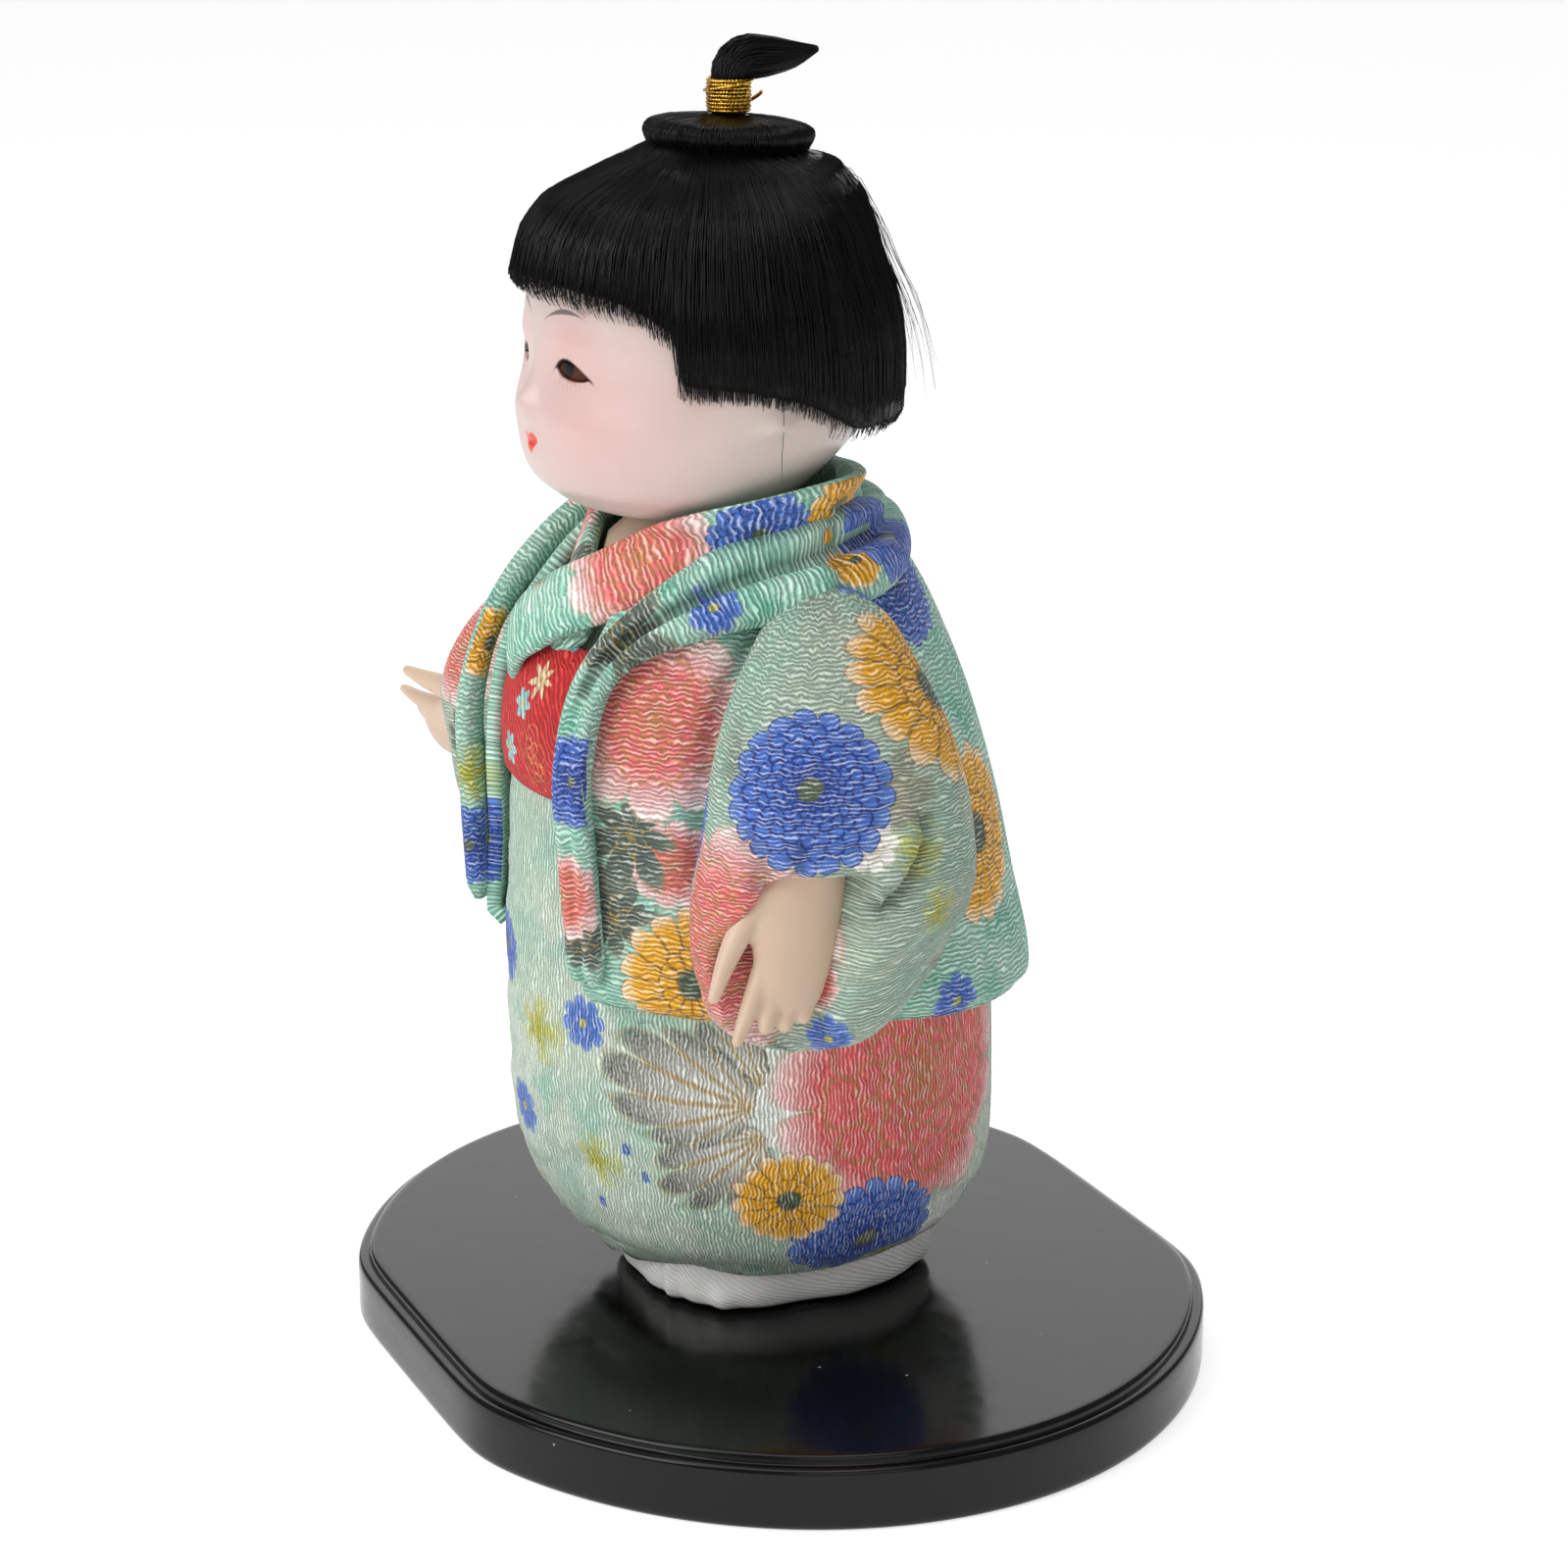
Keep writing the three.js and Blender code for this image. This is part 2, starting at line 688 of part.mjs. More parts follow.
// Body, neck and peg
const peg = spun([
  [0, CORE_TOP - PEG_DEPTH],
  [PEG_DIAMETER / 2, CORE_TOP - PEG_DEPTH],
  [PEG_DIAMETER / 2, headBottom + GAP],
  [PLUG_DIAMETER / 2, headBottom + GAP],
  [PLUG_DIAMETER / 2, headBottom + PLUG_LENGTH],
  [0, headBottom + PLUG_LENGTH],
], 0, NECK_Y);
const pegRoom = spun([
  [0, CORE_TOP - PEG_DEPTH - GAP],
  [PEG_DIAMETER / 2 + GAP, CORE_TOP - PEG_DEPTH - GAP],
  [PEG_DIAMETER / 2 + GAP, headBottom + 5],
  [0, headBottom + 5],
], 0, NECK_Y);
const neckBottom = CORE_TOP + GAP;
const neckTop = headBottom - GAP;
const neckRise = neckTop - neckBottom;
const neck = cut(
  spun([
    [0, neckBottom],
    [NECK_BASE_RADIUS, neckBottom],
    [NECK_BASE_RADIUS - 0.8, neckBottom + neckRise * 0.35],
    [(NECK_BASE_RADIUS + NECK_TOP_RADIUS) / 2 - 0.6, neckBottom + neckRise * 0.7],
    [NECK_TOP_RADIUS, neckTop],
    [0, neckTop],
  ], 0, NECK_Y, 24),
  pegRoom,
);
const neckRoom = spun([
  [0, ROBE_TOP - 10],
  [NECK_BASE_RADIUS + GAP, ROBE_TOP - 10],
  [NECK_BASE_RADIUS + GAP, neckBottom + neckRise * 0.35],
  [NECK_TOP_RADIUS + 1.5, neckTop + GAP],
  [0, neckTop + GAP],
], 0, NECK_Y, 24);
const armRooms = [armRoom('left'), armRoom('right')];
const coreBlock = new THREE.BoxGeometry(200, 200, CORE_TOP - SOLE_TOP - GAP);
coreBlock.translate(0, 0, (CORE_TOP + SOLE_TOP + GAP) / 2);
const core = cut(
  robeForm(-ROBE_WALL - GAP).intersect(solidOf(coreBlock)),
  pegRoom,
  ...armRooms,
);

// Clothes, from the inside out
const soleRoom = soleForm(HEM_EASE, [[0, 0], [SOLE_TOP + 6, 0]]);
const robe = cut(robeForm(0), robeForm(-ROBE_WALL), soleRoom, neckRoom, ...armRooms);

const obiTop = OBI_BASE_HEIGHT + OBI_HEIGHT;
function obiForm(grow) {
  const at = between(robeOutline);
  const rows = [
    [OBI_BASE_HEIGHT - grow, OBI_EDGE - 0.6],
    [OBI_BASE_HEIGHT + OBI_HEIGHT * 0.08, OBI_EDGE],
    [OBI_BASE_HEIGHT + OBI_HEIGHT * 0.35, OBI_THICKNESS],
    [OBI_BASE_HEIGHT + OBI_HEIGHT * 0.65, OBI_THICKNESS],
    [OBI_BASE_HEIGHT + OBI_HEIGHT * 0.92, OBI_EDGE],
    [obiTop + grow, OBI_EDGE - 0.6],
  ];
  const rings = rows.map(([height, thick]) => {
    const [half, front, back] = at(height);
    const reach = thick + GAP + grow;
    return oval(0, (front + back) / 2, half + reach, (back - front) / 2 + reach, height, AROUND);
  });
  return solidOf(loft(rings));
}
const obi = cut(obiForm(0), robeForm(GAP), ...armRooms);

const turningHead = headRoom(SWING_GAP);
const rightRun = mirrored(COLLAR_RUN).slice(1).reverse();
const lapped = ([x, y, z], i, run) => [x, y - (i === run.length - 1 ? COLLAR_CROSSING : 0), z];
const collarRun = [...rightRun, ...COLLAR_RUN.map(lapped)];
const collarForm = (grow) => strip(collarRun, COLLAR_WIDTH, COLLAR_THICKNESS, grow, 26);
const collar = cut(collarForm(0), turningHead, robeForm(GAP), obiForm(GAP), neckRoom);

const opening = new THREE.ExtrudeGeometry(
  new THREE.Shape([
    ...OPENING_OUTLINE.map(([x, height]) => new THREE.Vector2(x, height)),
    ...OPENING_OUTLINE.map(([x, height]) => new THREE.Vector2(-x, height)).reverse(),
  ].reverse()),
  { depth: 60, bevelEnabled: false },
);
opening.rotateX(Math.PI / 2);
opening.translate(0, -8, 0);
const hemRoom = new THREE.BoxGeometry(200, 200, 80);
hemRoom.translate(0, 0, -40);
hemRoom.rotateX(-Math.atan(HAORI_HEM_SLOPE));
hemRoom.translate(0, 0, HAORI_HEM);
const haori = cut(
  haoriForm(0),
  haoriForm(-HAORI_WALL),
  robeForm(GAP),
  obiForm(GAP),
  collarForm(GAP),
  turningHead,
  solidOf(opening),
  solidOf(hemRoom),
  ...armRooms,
);

const bandRun = [...mirrored(BAND_RUN).slice(1).reverse(), ...BAND_RUN];
const bandForm = (grow) => strip(bandRun, BAND_WIDTH, BAND_THICKNESS, grow, 32);
const band = cut(
  bandForm(0),
  haoriForm(GAP),
  collarForm(GAP),
  robeForm(GAP),
  obiForm(GAP),
  turningHead,
);

// Turns a solid outward about a front to back axis through a pivot.
function swung(solid, side, pivot, degrees) {
  const geometry = geometryOf(solid);
  geometry.translate(-pivot.x, -pivot.y, -pivot.z);
  geometry.rotateY(-sides[side] * THREE.MathUtils.degToRad(degrees));
  geometry.translate(pivot.x, pivot.y, pivot.z);
  return solidOf(geometry);
}

// Sleeves. A raised sleeve passes the collars, so it is cut back where they would meet.
const neckwear = joined(bandForm(SWING_GAP), collarForm(SWING_GAP));
function sleeve(side) {
  const outline = side === 'left' ? LEFT_SLEEVE_OUTLINE : RIGHT_SLEEVE_OUTLINE;
  const at = between(outline);
  const rings = steps(outline[0][0], outline.at(-1)[0], 10).map((height) => {
    const [out, middle, thick, wide] = at(height);
    return oval(sides[side] * out, middle, thick, wide, height, AROUND, 2.2);
  });
  return cut(
    solidOf(loft(rings)),
    haoriForm(SWING_GAP),
    ...steps(0, SHOULDER_SWING, 4).map((turn) => swung(neckwear, side, shoulders[side], -turn)),
    joined(armPad(side, GAP, SLIM_AROUND), wireRoom(side, GAP)),
    handRoom(side),
  );
}

const doll = new THREE.Group();
doll.name = 'doll';
doll.position.z = BOARD_THICKNESS;
doll.add(part('sole_block', 'bare_wood', soleBlock));
doll.add(part('sole_cover', 'white_satin', soleCover));
doll.add(part('body_core', 'stuffing', core));
doll.add(part('neck', 'pale_vinyl', neck));
doll.add(part('kimono_robe', 'green_crepe', robe));
doll.add(part('obi', 'red_brocade', obi));
doll.add(part('kimono_collar', 'green_crepe', collar));
doll.add(part('haori_body', 'green_crepe', haori));
doll.add(part('haori_band', 'green_crepe', band));

Object.keys(sides).forEach((side) => {
  const arm = new THREE.Group();
  arm.name = `${side}_arm`;
  const pad = cut(armPad(side, 0, SLIM_AROUND), wireRoom(side, GAP));
  const hand = cut(handForm(side), wristSocket(side));
  arm.add(part(`${side}_arm_wire`, 'steel_wire', armWire(side)));
  arm.add(part(`${side}_arm_pad`, 'stuffing', pad));
  arm.add(part(`${side}_sleeve`, 'green_crepe', sleeve(side)));
  arm.add(part(`${side}_hand`, 'pale_vinyl', hand));
  doll.add(arm);
});

// Head
const [faceHalf, faceFront, faceBack] = between(HEAD_OUTLINE)(EYE_HEIGHT);
const eyeBulge = Math.sqrt(1 - (EYE_OUT / faceHalf) ** 2);
const faceY = (faceFront + faceBack) / 2 - ((faceBack - faceFront) / 2) * eyeBulge;
const eyeY = faceY + EYE_SINK_DEPTH + EYE_DIAMETER / 2;
console.log(`eyes: middle at y ${eyeY.toFixed(3)} mm`);
const eyeCentre = (side) => new THREE.Vector3(sides[side] * EYE_OUT, eyeY, EYE_HEIGHT);
const eyeRooms = Object.keys(sides).map((side) => ball(eyeCentre(side), EYE_DIAMETER / 2 + GAP));
function eyeSlit(side) {
  const half = EYE_SLIT_WIDTH / 2;
  const shape = new THREE.Shape();
  shape.moveTo(-half, 0);
  shape.quadraticCurveTo(0, -EYE_SLIT_HEIGHT, half, 0);
  shape.quadraticCurveTo(0, EYE_SLIT_HEIGHT, -half, 0);
  const geometry = new THREE.ExtrudeGeometry(shape, {
    depth: 14,
    bevelEnabled: false,
    curveSegments: 8,
  });
  geometry.rotateX(Math.PI / 2);
  geometry.translate(sides[side] * EYE_OUT, eyeY, EYE_HEIGHT);
  return solidOf(geometry);
}
const noseShape = new THREE.SphereGeometry(1, 16, 12);
noseShape.scale(NOSE_SIZE.x, NOSE_SIZE.y, NOSE_SIZE.z);
noseShape.translate(NOSE.x, NOSE.y, NOSE.z);
const plugRoom = spun([
  [0, headBottom - 5],
  [PLUG_DIAMETER / 2 + GAP, headBottom - 5],
  [PLUG_DIAMETER / 2 + GAP, headBottom + PLUG_LENGTH + 2],
  [0, headBottom + PLUG_LENGTH + 2],
], 0, NECK_Y);
const head = cut(
  joined(headForm(0), solidOf(noseShape)),
  headForm(-HEAD_WALL, 14, 8),
  plugRoom,
  ...eyeRooms,
  ...Object.keys(sides).map(eyeSlit),
);

const hairCut = new THREE.ExtrudeGeometry(
  new THREE.Shape(HAIR_CUT.map(([y, height]) => new THREE.Vector2(y, height)).reverse()),
  { depth: 100, bevelEnabled: false },
);
hairCut.rotateX(Math.PI / 2);
hairCut.rotateZ(Math.PI / 2);
hairCut.translate(-50, 0, 0);
const hairOutside = headForm(GAP + HAIR_THICKNESS);
const hair = cut(hairOutside, headForm(GAP), solidOf(hairCut), ...eyeRooms);

const discForm = new THREE.LatheGeometry([
  [0, DISC_BOTTOM],
  [DISC_RADIUS - 3.5, DISC_BOTTOM],
  [DISC_RADIUS - 0.8, DISC_RIM_LOW],
  [DISC_RADIUS, (DISC_RIM_LOW + DISC_RIM_TOP) / 2],
  [DISC_RADIUS - 1, DISC_RIM_TOP],
  [DISC_RADIUS - 4, DISC_RIM_TOP + 0.9],
  [TAIL_NECK_RADIUS + 2, DISC_TOP],
  [0, DISC_TOP],
].map(([radius, height]) => new THREE.Vector2(radius, height - DISC_TOP)), AROUND);
discForm.rotateX(Math.PI / 2 - THREE.MathUtils.degToRad(DISC_TILT));
discForm.translate(0, KNOT_Y, DISC_TOP);
const disc = cut(solidOf(discForm), headForm(2 * GAP + HAIR_THICKNESS));

const tailBottom = DISC_TOP + 2 * GAP;
const tieTop = tailBottom + 2 * THREAD_DIAMETER + THREAD_LOOPS * THREAD_PITCH + GAP;
const tail = bar(
  [
    new THREE.Vector3(0, KNOT_Y, tailBottom + BLUNT * TAIL_NECK_RADIUS),
    new THREE.Vector3(0, KNOT_Y, tieTop - GAP),
    ...TAIL_OUTLINE.map(([y, rise]) => new THREE.Vector3(0, KNOT_Y + y, tieTop + rise)),
  ],
  [TAIL_NECK_RADIUS, TAIL_NECK_RADIUS, ...TAIL_OUTLINE.map((row) => row[2])],
  SLIM_AROUND,
);

// Gold thread: one unbroken tube wound round the tail's neck
class Winding extends THREE.Curve {
  getPoint(share, target = new THREE.Vector3()) {
    const turn = share * THREAD_LOOPS * 2 * Math.PI;
    const radius = TAIL_NECK_RADIUS + GAP + THREAD_DIAMETER / 2;
    const height = tailBottom + THREAD_DIAMETER + share * THREAD_LOOPS * THREAD_PITCH;
    return target.set(radius * Math.sin(turn), KNOT_Y + radius * Math.cos(turn), height);
  }
}
const winding = new Winding();
const threadShape = new THREE.Shape(
  oval(0, 0, THREAD_DIAMETER / 2, THREAD_DIAMETER / 2, 0, 6)
    .map((point) => new THREE.Vector2(point.x, point.y)),
);
const thread = solidOf(new THREE.ExtrudeGeometry(threadShape, {
  steps: THREAD_LOOPS * 24,
  extrudePath: winding,
}));
const threadPoints = winding.getPoints(THREAD_LOOPS * 24);
let threadGap = Infinity;
threadPoints.forEach((point, i) => {
  threadPoints.slice(i + 13).forEach((other) => {
    threadGap = Math.min(threadGap, point.distanceTo(other) - THREAD_DIAMETER);
  });
});
console.log(`gold thread: least gap to itself ${threadGap.toFixed(2)} mm`);

const headGroup = new THREE.Group();
headGroup.name = 'head';
headGroup.add(part('neck_peg', 'bare_wood', peg));
headGroup.add(part('head_shell', 'painted_face', head));
Object.keys(sides).forEach((side) => {
  headGroup.add(part(`${side}_eye`, 'brown_glass', ball(eyeCentre(side), EYE_DIAMETER / 2)));
});
headGroup.add(part('hair_cap', 'black_hair', hair));
headGroup.add(part('topknot_disc', 'black_hair', disc));
headGroup.add(part('topknot_tail', 'black_hair', tail));
headGroup.add(part('gold_tie', 'gold_thread', thread));
doll.add(headGroup);

const object = new THREE.Group();
object.name = 'kimono_doll';
object.add(base);
object.add(doll);

export default object;
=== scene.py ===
# %% [markdown]
# A small standing doll in a padded kimono and short coat, on a black lacquered board.
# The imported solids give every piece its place. This lesson gives each piece its real form and
# surface: wadded crepe cloth, combed hair, a painted face, glass eyes, satin and lacquer.

# %% Load the frame
import functools
import math
import random

import bmesh
import bpy
import numpy as np
from mathutils import Matrix, Vector, noise


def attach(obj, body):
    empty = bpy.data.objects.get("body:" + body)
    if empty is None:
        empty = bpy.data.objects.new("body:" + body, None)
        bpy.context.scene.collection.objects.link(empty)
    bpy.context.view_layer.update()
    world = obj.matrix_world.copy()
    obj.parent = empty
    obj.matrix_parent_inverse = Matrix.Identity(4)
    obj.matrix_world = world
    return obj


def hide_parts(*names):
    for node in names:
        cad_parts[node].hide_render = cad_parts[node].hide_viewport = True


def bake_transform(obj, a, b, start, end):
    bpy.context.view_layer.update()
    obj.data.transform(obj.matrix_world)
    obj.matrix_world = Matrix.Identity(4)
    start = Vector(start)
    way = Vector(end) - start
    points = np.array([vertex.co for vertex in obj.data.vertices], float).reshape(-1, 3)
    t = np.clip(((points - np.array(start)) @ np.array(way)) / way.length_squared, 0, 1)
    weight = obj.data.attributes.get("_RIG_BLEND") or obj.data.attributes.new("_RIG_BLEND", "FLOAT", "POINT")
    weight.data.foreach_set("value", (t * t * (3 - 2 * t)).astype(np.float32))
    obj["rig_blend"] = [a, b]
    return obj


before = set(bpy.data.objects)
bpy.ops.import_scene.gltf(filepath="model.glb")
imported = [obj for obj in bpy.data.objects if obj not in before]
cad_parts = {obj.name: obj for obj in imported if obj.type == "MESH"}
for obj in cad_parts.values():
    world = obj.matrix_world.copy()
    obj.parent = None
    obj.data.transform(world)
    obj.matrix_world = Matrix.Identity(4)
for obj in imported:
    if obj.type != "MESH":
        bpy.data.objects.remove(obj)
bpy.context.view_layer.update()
scene = bpy.context.scene
MM = 0.001
FULL_TURN = 2 * math.pi
BOARD_TOP = 12.0  # the doll's heights, called h, count from here in mm
print("solids", len(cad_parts))

# %% [markdown]
# The camera stands to the doll's front left, a little above it, and looks at its waist.
# A long lens from further off keeps the proportions of a product picture.

# %% Camera
AZIMUTH = math.radians(65.4)
ELEVATION = math.radians(16.9)
DISTANCE = 0.637
right = Vector((math.cos(AZIMUTH), math.sin(AZIMUTH), 0))
to_camera = Vector((
    math.sin(AZIMUTH) * math.cos(ELEVATION),
    -math.cos(AZIMUTH) * math.cos(ELEVATION),
    math.sin(ELEVATION),
))
AIM_RIGHT, AIM_HEIGHT = 1.4, 96.5  # mm from the board's middle
target = (right * AIM_RIGHT + Vector((0, 0, AIM_HEIGHT))) * MM


def aimed(name, data, place):
    """Puts a camera or light at a place in metres, turned to the doll's middle."""
    thing = bpy.data.objects.new(name, data)
    thing.location = place
    thing.rotation_euler = (target - thing.location).to_track_quat("-Z", "Y").to_euler()
    scene.collection.objects.link(thing)
    return thing


camera = aimed("camera", bpy.data.cameras.new("camera"), target + to_camera * DISTANCE)
camera.data.lens = 88.1
camera.data.clip_start = 0.01
scene.camera = camera
scene.view_settings.view_transform = "Standard"
print("camera at", camera.location)

# %% [markdown]
# Big soft panels give the even light of a small studio. Area lights are used because their
# size sets how soft a shadow is, as a diffuser's size does.

# %% Light panels


def panel(name, place, size, power):
    """A soft square light at place, in mm."""
    light = bpy.data.lights.new(name, "AREA")
    light.size = size * MM
    light.energy = power
    aimed(name, light, Vector(place) * MM)


panel("front_panel", (150, -1000, 750), 800, 9.0)
panel("overhead_panel", (200, -200, 1300), 900, 5.0)
panel("side_panel", (1000, -250, 450), 600, 1.0)
print("panels", len(bpy.data.lights))

# %% [markdown]
# One small function adds a shader node. A kind such as "Math:ADD" or "Mix:RGBA" says what the
# node does, the values fill its sockets in order, capitalised words fill sockets by name, and
# the other words set its fields. That keeps long formulas readable.

# %% Adding nodes


def hex_colour(code):
    """An sRGB hex value as the linear colour that a shader reads."""
    parts = [int(code[i:i + 2], 16) / 255 for i in (1, 3, 5)]
    return [c / 12.92 if c <= 0.04045 else ((c + 0.055) / 1.055) ** 2.4 for c in parts] + [1]


def add(tree, kind, *values, out=0, **words):
    """Adds one node and returns its output number out."""
    kind, _, mode = kind.partition(":")
    node = tree.nodes.new("ShaderNode" + kind)
    if mode:
        setattr(node, "data_type" if kind == "Mix" else "operation", mode)
    for word in filter(str.islower, words):
        setattr(node, word, words[word])
    pairs = list(zip([socket for socket in node.inputs if socket.enabled], values))
    pairs += [(node.inputs[word], words[word]) for word in words if not word.islower()]
    for socket, value in pairs:
        if isinstance(value, bpy.types.NodeSocket):
            tree.links.new(value, socket)
        else:
            socket.default_value = hex_colour(value) if isinstance(value, str) else value
    return [socket for socket in node.outputs if socket.enabled][out]


def new_material(name, **constants):
    """A material with one shader. Its constants are set here, and into() links what varies."""
    material = bpy.data.materials.new(name)
    material.use_nodes = True
    tree = material.node_tree
    inputs = tree.nodes["Principled BSDF"].inputs

    def into(**sources):
        for word, source in sources.items():
            tree.links.new(source, inputs[word.replace("_", " ")])
        print(name, len(tree.nodes), "nodes")

    for word, value in constants.items():
        socket = inputs[word.replace("_", " ")]
        socket.default_value = hex_colour(value) if isinstance(value, str) else value
    return material, functools.partial(add, tree), into


def in_mm(n):
    """The piece's own coordinates in mm, so that a pattern's scale is a real size."""
    return n("VectorMath:SCALE", n("TexCoord", out=3), Scale=1000.0)


# %% [markdown]
# The room is pale all round and brighter in one direction, like a window behind the doll that
# the lacquer mirrors. The floor is a big sheet of paper, nearly white.

# %% Room and floor
WINDOW = (-0.85, 0.41, 0.33)  # where the window lies
world = bpy.data.worlds.new("pale_room")
scene.world = world
world.use_nodes = True
room = world.node_tree.nodes["Background"].inputs
room["Color"].default_value = hex_colour("#ffffff")
n = functools.partial(add, world.node_tree)
facing = n("VectorMath:DOT_PRODUCT", n("TexCoord"), WINDOW)
world.node_tree.links.new(n("MapRange", facing, 0.85, 0.9, 0.26, 1.6), room["Strength"])

# matt drawing paper, lit from below as a light table is, so that it stays white
paper, n, into = new_material(
    "pale_paper", Roughness=0.9, Emission_Color="#ffffff", Emission_Strength=0.72)
fibres = n("TexNoise", n("TexCoord", out=3), Scale=60.0)
into(Base_Color=n("Mix:RGBA", fibres, "#bfbfbe", "#c4c4c3"))


def smooth(mesh):
    mesh.polygons.foreach_set("use_smooth", [True] * len(mesh.polygons))
    return mesh


def shown(name, mesh):
    """Puts a mesh in the scene as a smooth object at the origin."""
    piece = bpy.data.objects.new(name, smooth(mesh))
    scene.collection.objects.link(piece)
    return piece


def finished(name, bm):
    """Turns a bmesh into an object."""
    mesh = bpy.data.meshes.new(name)
    bm.to_mesh(mesh)
    bm.free()
    return shown(name, mesh)


bm = bmesh.new()
bmesh.ops.create_grid(bm, x_segments=8, y_segments=8, size=3.0)
floor = finished("floor", bm)
floor.data.materials.append(paper)

# %% [markdown]
# Most of the doll is made of ovals that change with height, as in a pattern book. A table gives
# half width, front and back at a few heights, and smooth values between its rows.

# %% Ovals between rows


def outline(rows):
    """Smooth values between the rows of a table whose first column is the height."""
    rows = np.array(rows, float)
    heights, values = rows[:, 0], rows[:, 1:]
    slopes = np.gradient(values, heights, axis=0)

    def at(height):
        h = min(max(height, heights[0]), heights[-1])
        i = min(max(int(np.searchsorted(heights, h)) - 1, 0), len(heights) - 2)
        step = heights[i + 1] - heights[i]
        t = (h - heights[i]) / step
        low = 2 * t ** 3 - 3 * t ** 2 + 1
        rise = (t ** 3 - 2 * t ** 2 + t) * slopes[i] + (t ** 3 - t ** 2) * slopes[i + 1]
        return low * values[i] + (1 - low) * values[i + 1] + step * rise

    return at


def ease(low, high, x):
    """0 below low, 1 above high, smooth between."""
    t = min(max((x - low) / (high - low), 0), 1)
    return t * t * (3 - 2 * t)


def oval_point(values, turn, grow=0.0):
    """A point of an oval that is grown outwards, at an angle from the doll's left."""
    half, front, back = values
    depth = (back - front) / 2
    return (half + grow) * math.cos(turn), (front + back) / 2 + (depth + grow) * math.sin(turn)


def from_back(u):
    """The angle at share u of a round that starts at the back, where seams don't show."""
    return math.pi / 2 + FULL_TURN * u


def full(value, power):
    """A sine or cosine that is made fuller, which squares an oval a little."""
    return math.copysign(abs(value) ** power, value)


print("half way between 0 and 1:", outline([[0, 0], [1, 1]])(0.5), ease(0, 1, 0.5))

# %% [markdown]
# A grid is laid over each form. Every corner is put where a rule says, the seam is welded, open
# ends are filled, and the grid's own sides become the weave map of the cloth in millimetres.

# %% A welded grid


def skin(name, around, along, place, width=100.0, length=100.0, fill=True):
    """A piece from a grid. place(u, v) gives a corner in mm above the board, u and v 0 to 1."""
    bm = bmesh.new()
    bmesh.ops.create_grid(bm, x_segments=around, y_segments=along, size=0.5)
    weave = bm.loops.layers.uv.new("weave")
    for face in bm.faces:
        for loop in face.loops:
            u, v = loop.vert.co.x + 0.5, loop.vert.co.y + 0.5
            loop[weave].uv = (u * width, v * length)
    for vert in bm.verts:
        x, y, h = place(vert.co.x + 0.5, vert.co.y + 0.5)
        vert.co = Vector((x, y, h + BOARD_TOP)) * MM
    bmesh.ops.remove_doubles(bm, verts=bm.verts, dist=2e-6)
    if fill:
        bmesh.ops.holes_fill(bm, edges=[e for e in bm.edges if e.is_boundary], sides=0)
    bmesh.ops.recalc_face_normals(bm, faces=bm.faces)
    return finished(name, bm)


def along_profile(profile, v):
    """The values at share v of a profile's corners, on straight lines between them."""
    place = v * (len(profile) - 1)
    low = min(int(place), len(profile) - 2)
    first, second = np.array(profile[low:low + 2], float)
    return first + (second - first) * (place - low)


def made_real(piece):
    """Turns a piece's modifiers into mesh."""
    graph = bpy.context.evaluated_depsgraph_get()
    mesh = bpy.data.meshes.new_from_object(piece.evaluated_get(graph), depsgraph=graph)
    piece.modifiers.clear()
    piece.data = smooth(mesh)


def dressed(piece, body, slot, material, *nodes):
    """Gives a piece its finish, its body and the solids that it stands for."""
    piece.data.materials.clear()
    piece.data.materials.append(material)
    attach(piece, body)
    if nodes:
        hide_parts(*nodes)
    print(piece.name, len(piece.data.polygons), "faces on", body)
    return piece


# %% [markdown]
# A crease in wadded cloth is a soft furrow. Points near a drawn line move in along their own
# normals, and each keeps how deep in a fold it lies, so that the cloth's colour can be darkened
# there as painted shade.

# %% Creases


def read(items, field, size=1, kind=np.float32):
    """One field of all points, corners or faces, as an array."""
    flat = np.zeros(len(items) * size, kind)
    items.foreach_get(field, flat)
    return flat.reshape(-1, size) if size > 1 else flat


def points_of(piece):
    return read(piece.data.vertices, "co", 3).astype(float)


def set_points(piece, points):
    piece.data.vertices.foreach_set("co", points.astype(np.float32).ravel())
    piece.data.update()


def crease(piece, line, depth, width):
    """Presses a fold along a line of points in mm of the frame. A negative depth raises a roll."""
    points = points_of(piece)
    normals = read(piece.data.vertices, "normal", 3)
    line = np.array(line, float) * MM
    least = np.full(len(points), 1e9)
    for a, b in zip(line[:-1], line[1:]):
        along = b - a
        t = np.clip(((points - a) @ along) / (along @ along), 0, 1)
        least = np.minimum(least, np.linalg.norm(points - a - t[:, None] * along, axis=1))
    share = np.exp(-(least / (width * MM)) ** 2)
    set_points(piece, points - normals * (depth * MM * share)[:, None])
    print(piece.name, "fold of", depth, "mm over", int((share > 0.5).sum()), "points")
    # the fold's depth is kept for the painted shade in the cloth's colour
    if depth > 0:
        marks = piece.data.attributes
        fold_shade = marks.get("fold") or marks.new("fold", "FLOAT", "POINT")
        deeper_shade = np.maximum(read(fold_shade.data, "value"), share)
        fold_shade.data.foreach_set("value", deeper_shade.astype(np.float32))


# %% [markdown]
# Wadding pushes cloth out from inside. The cloth solver does that with pressure and no gravity,
# and each point's move is capped, so that a piece stays clear of its neighbours.

# %% Wadding
SWELL_SCALE = 8.0  # the cloth solver is steadier on a larger copy


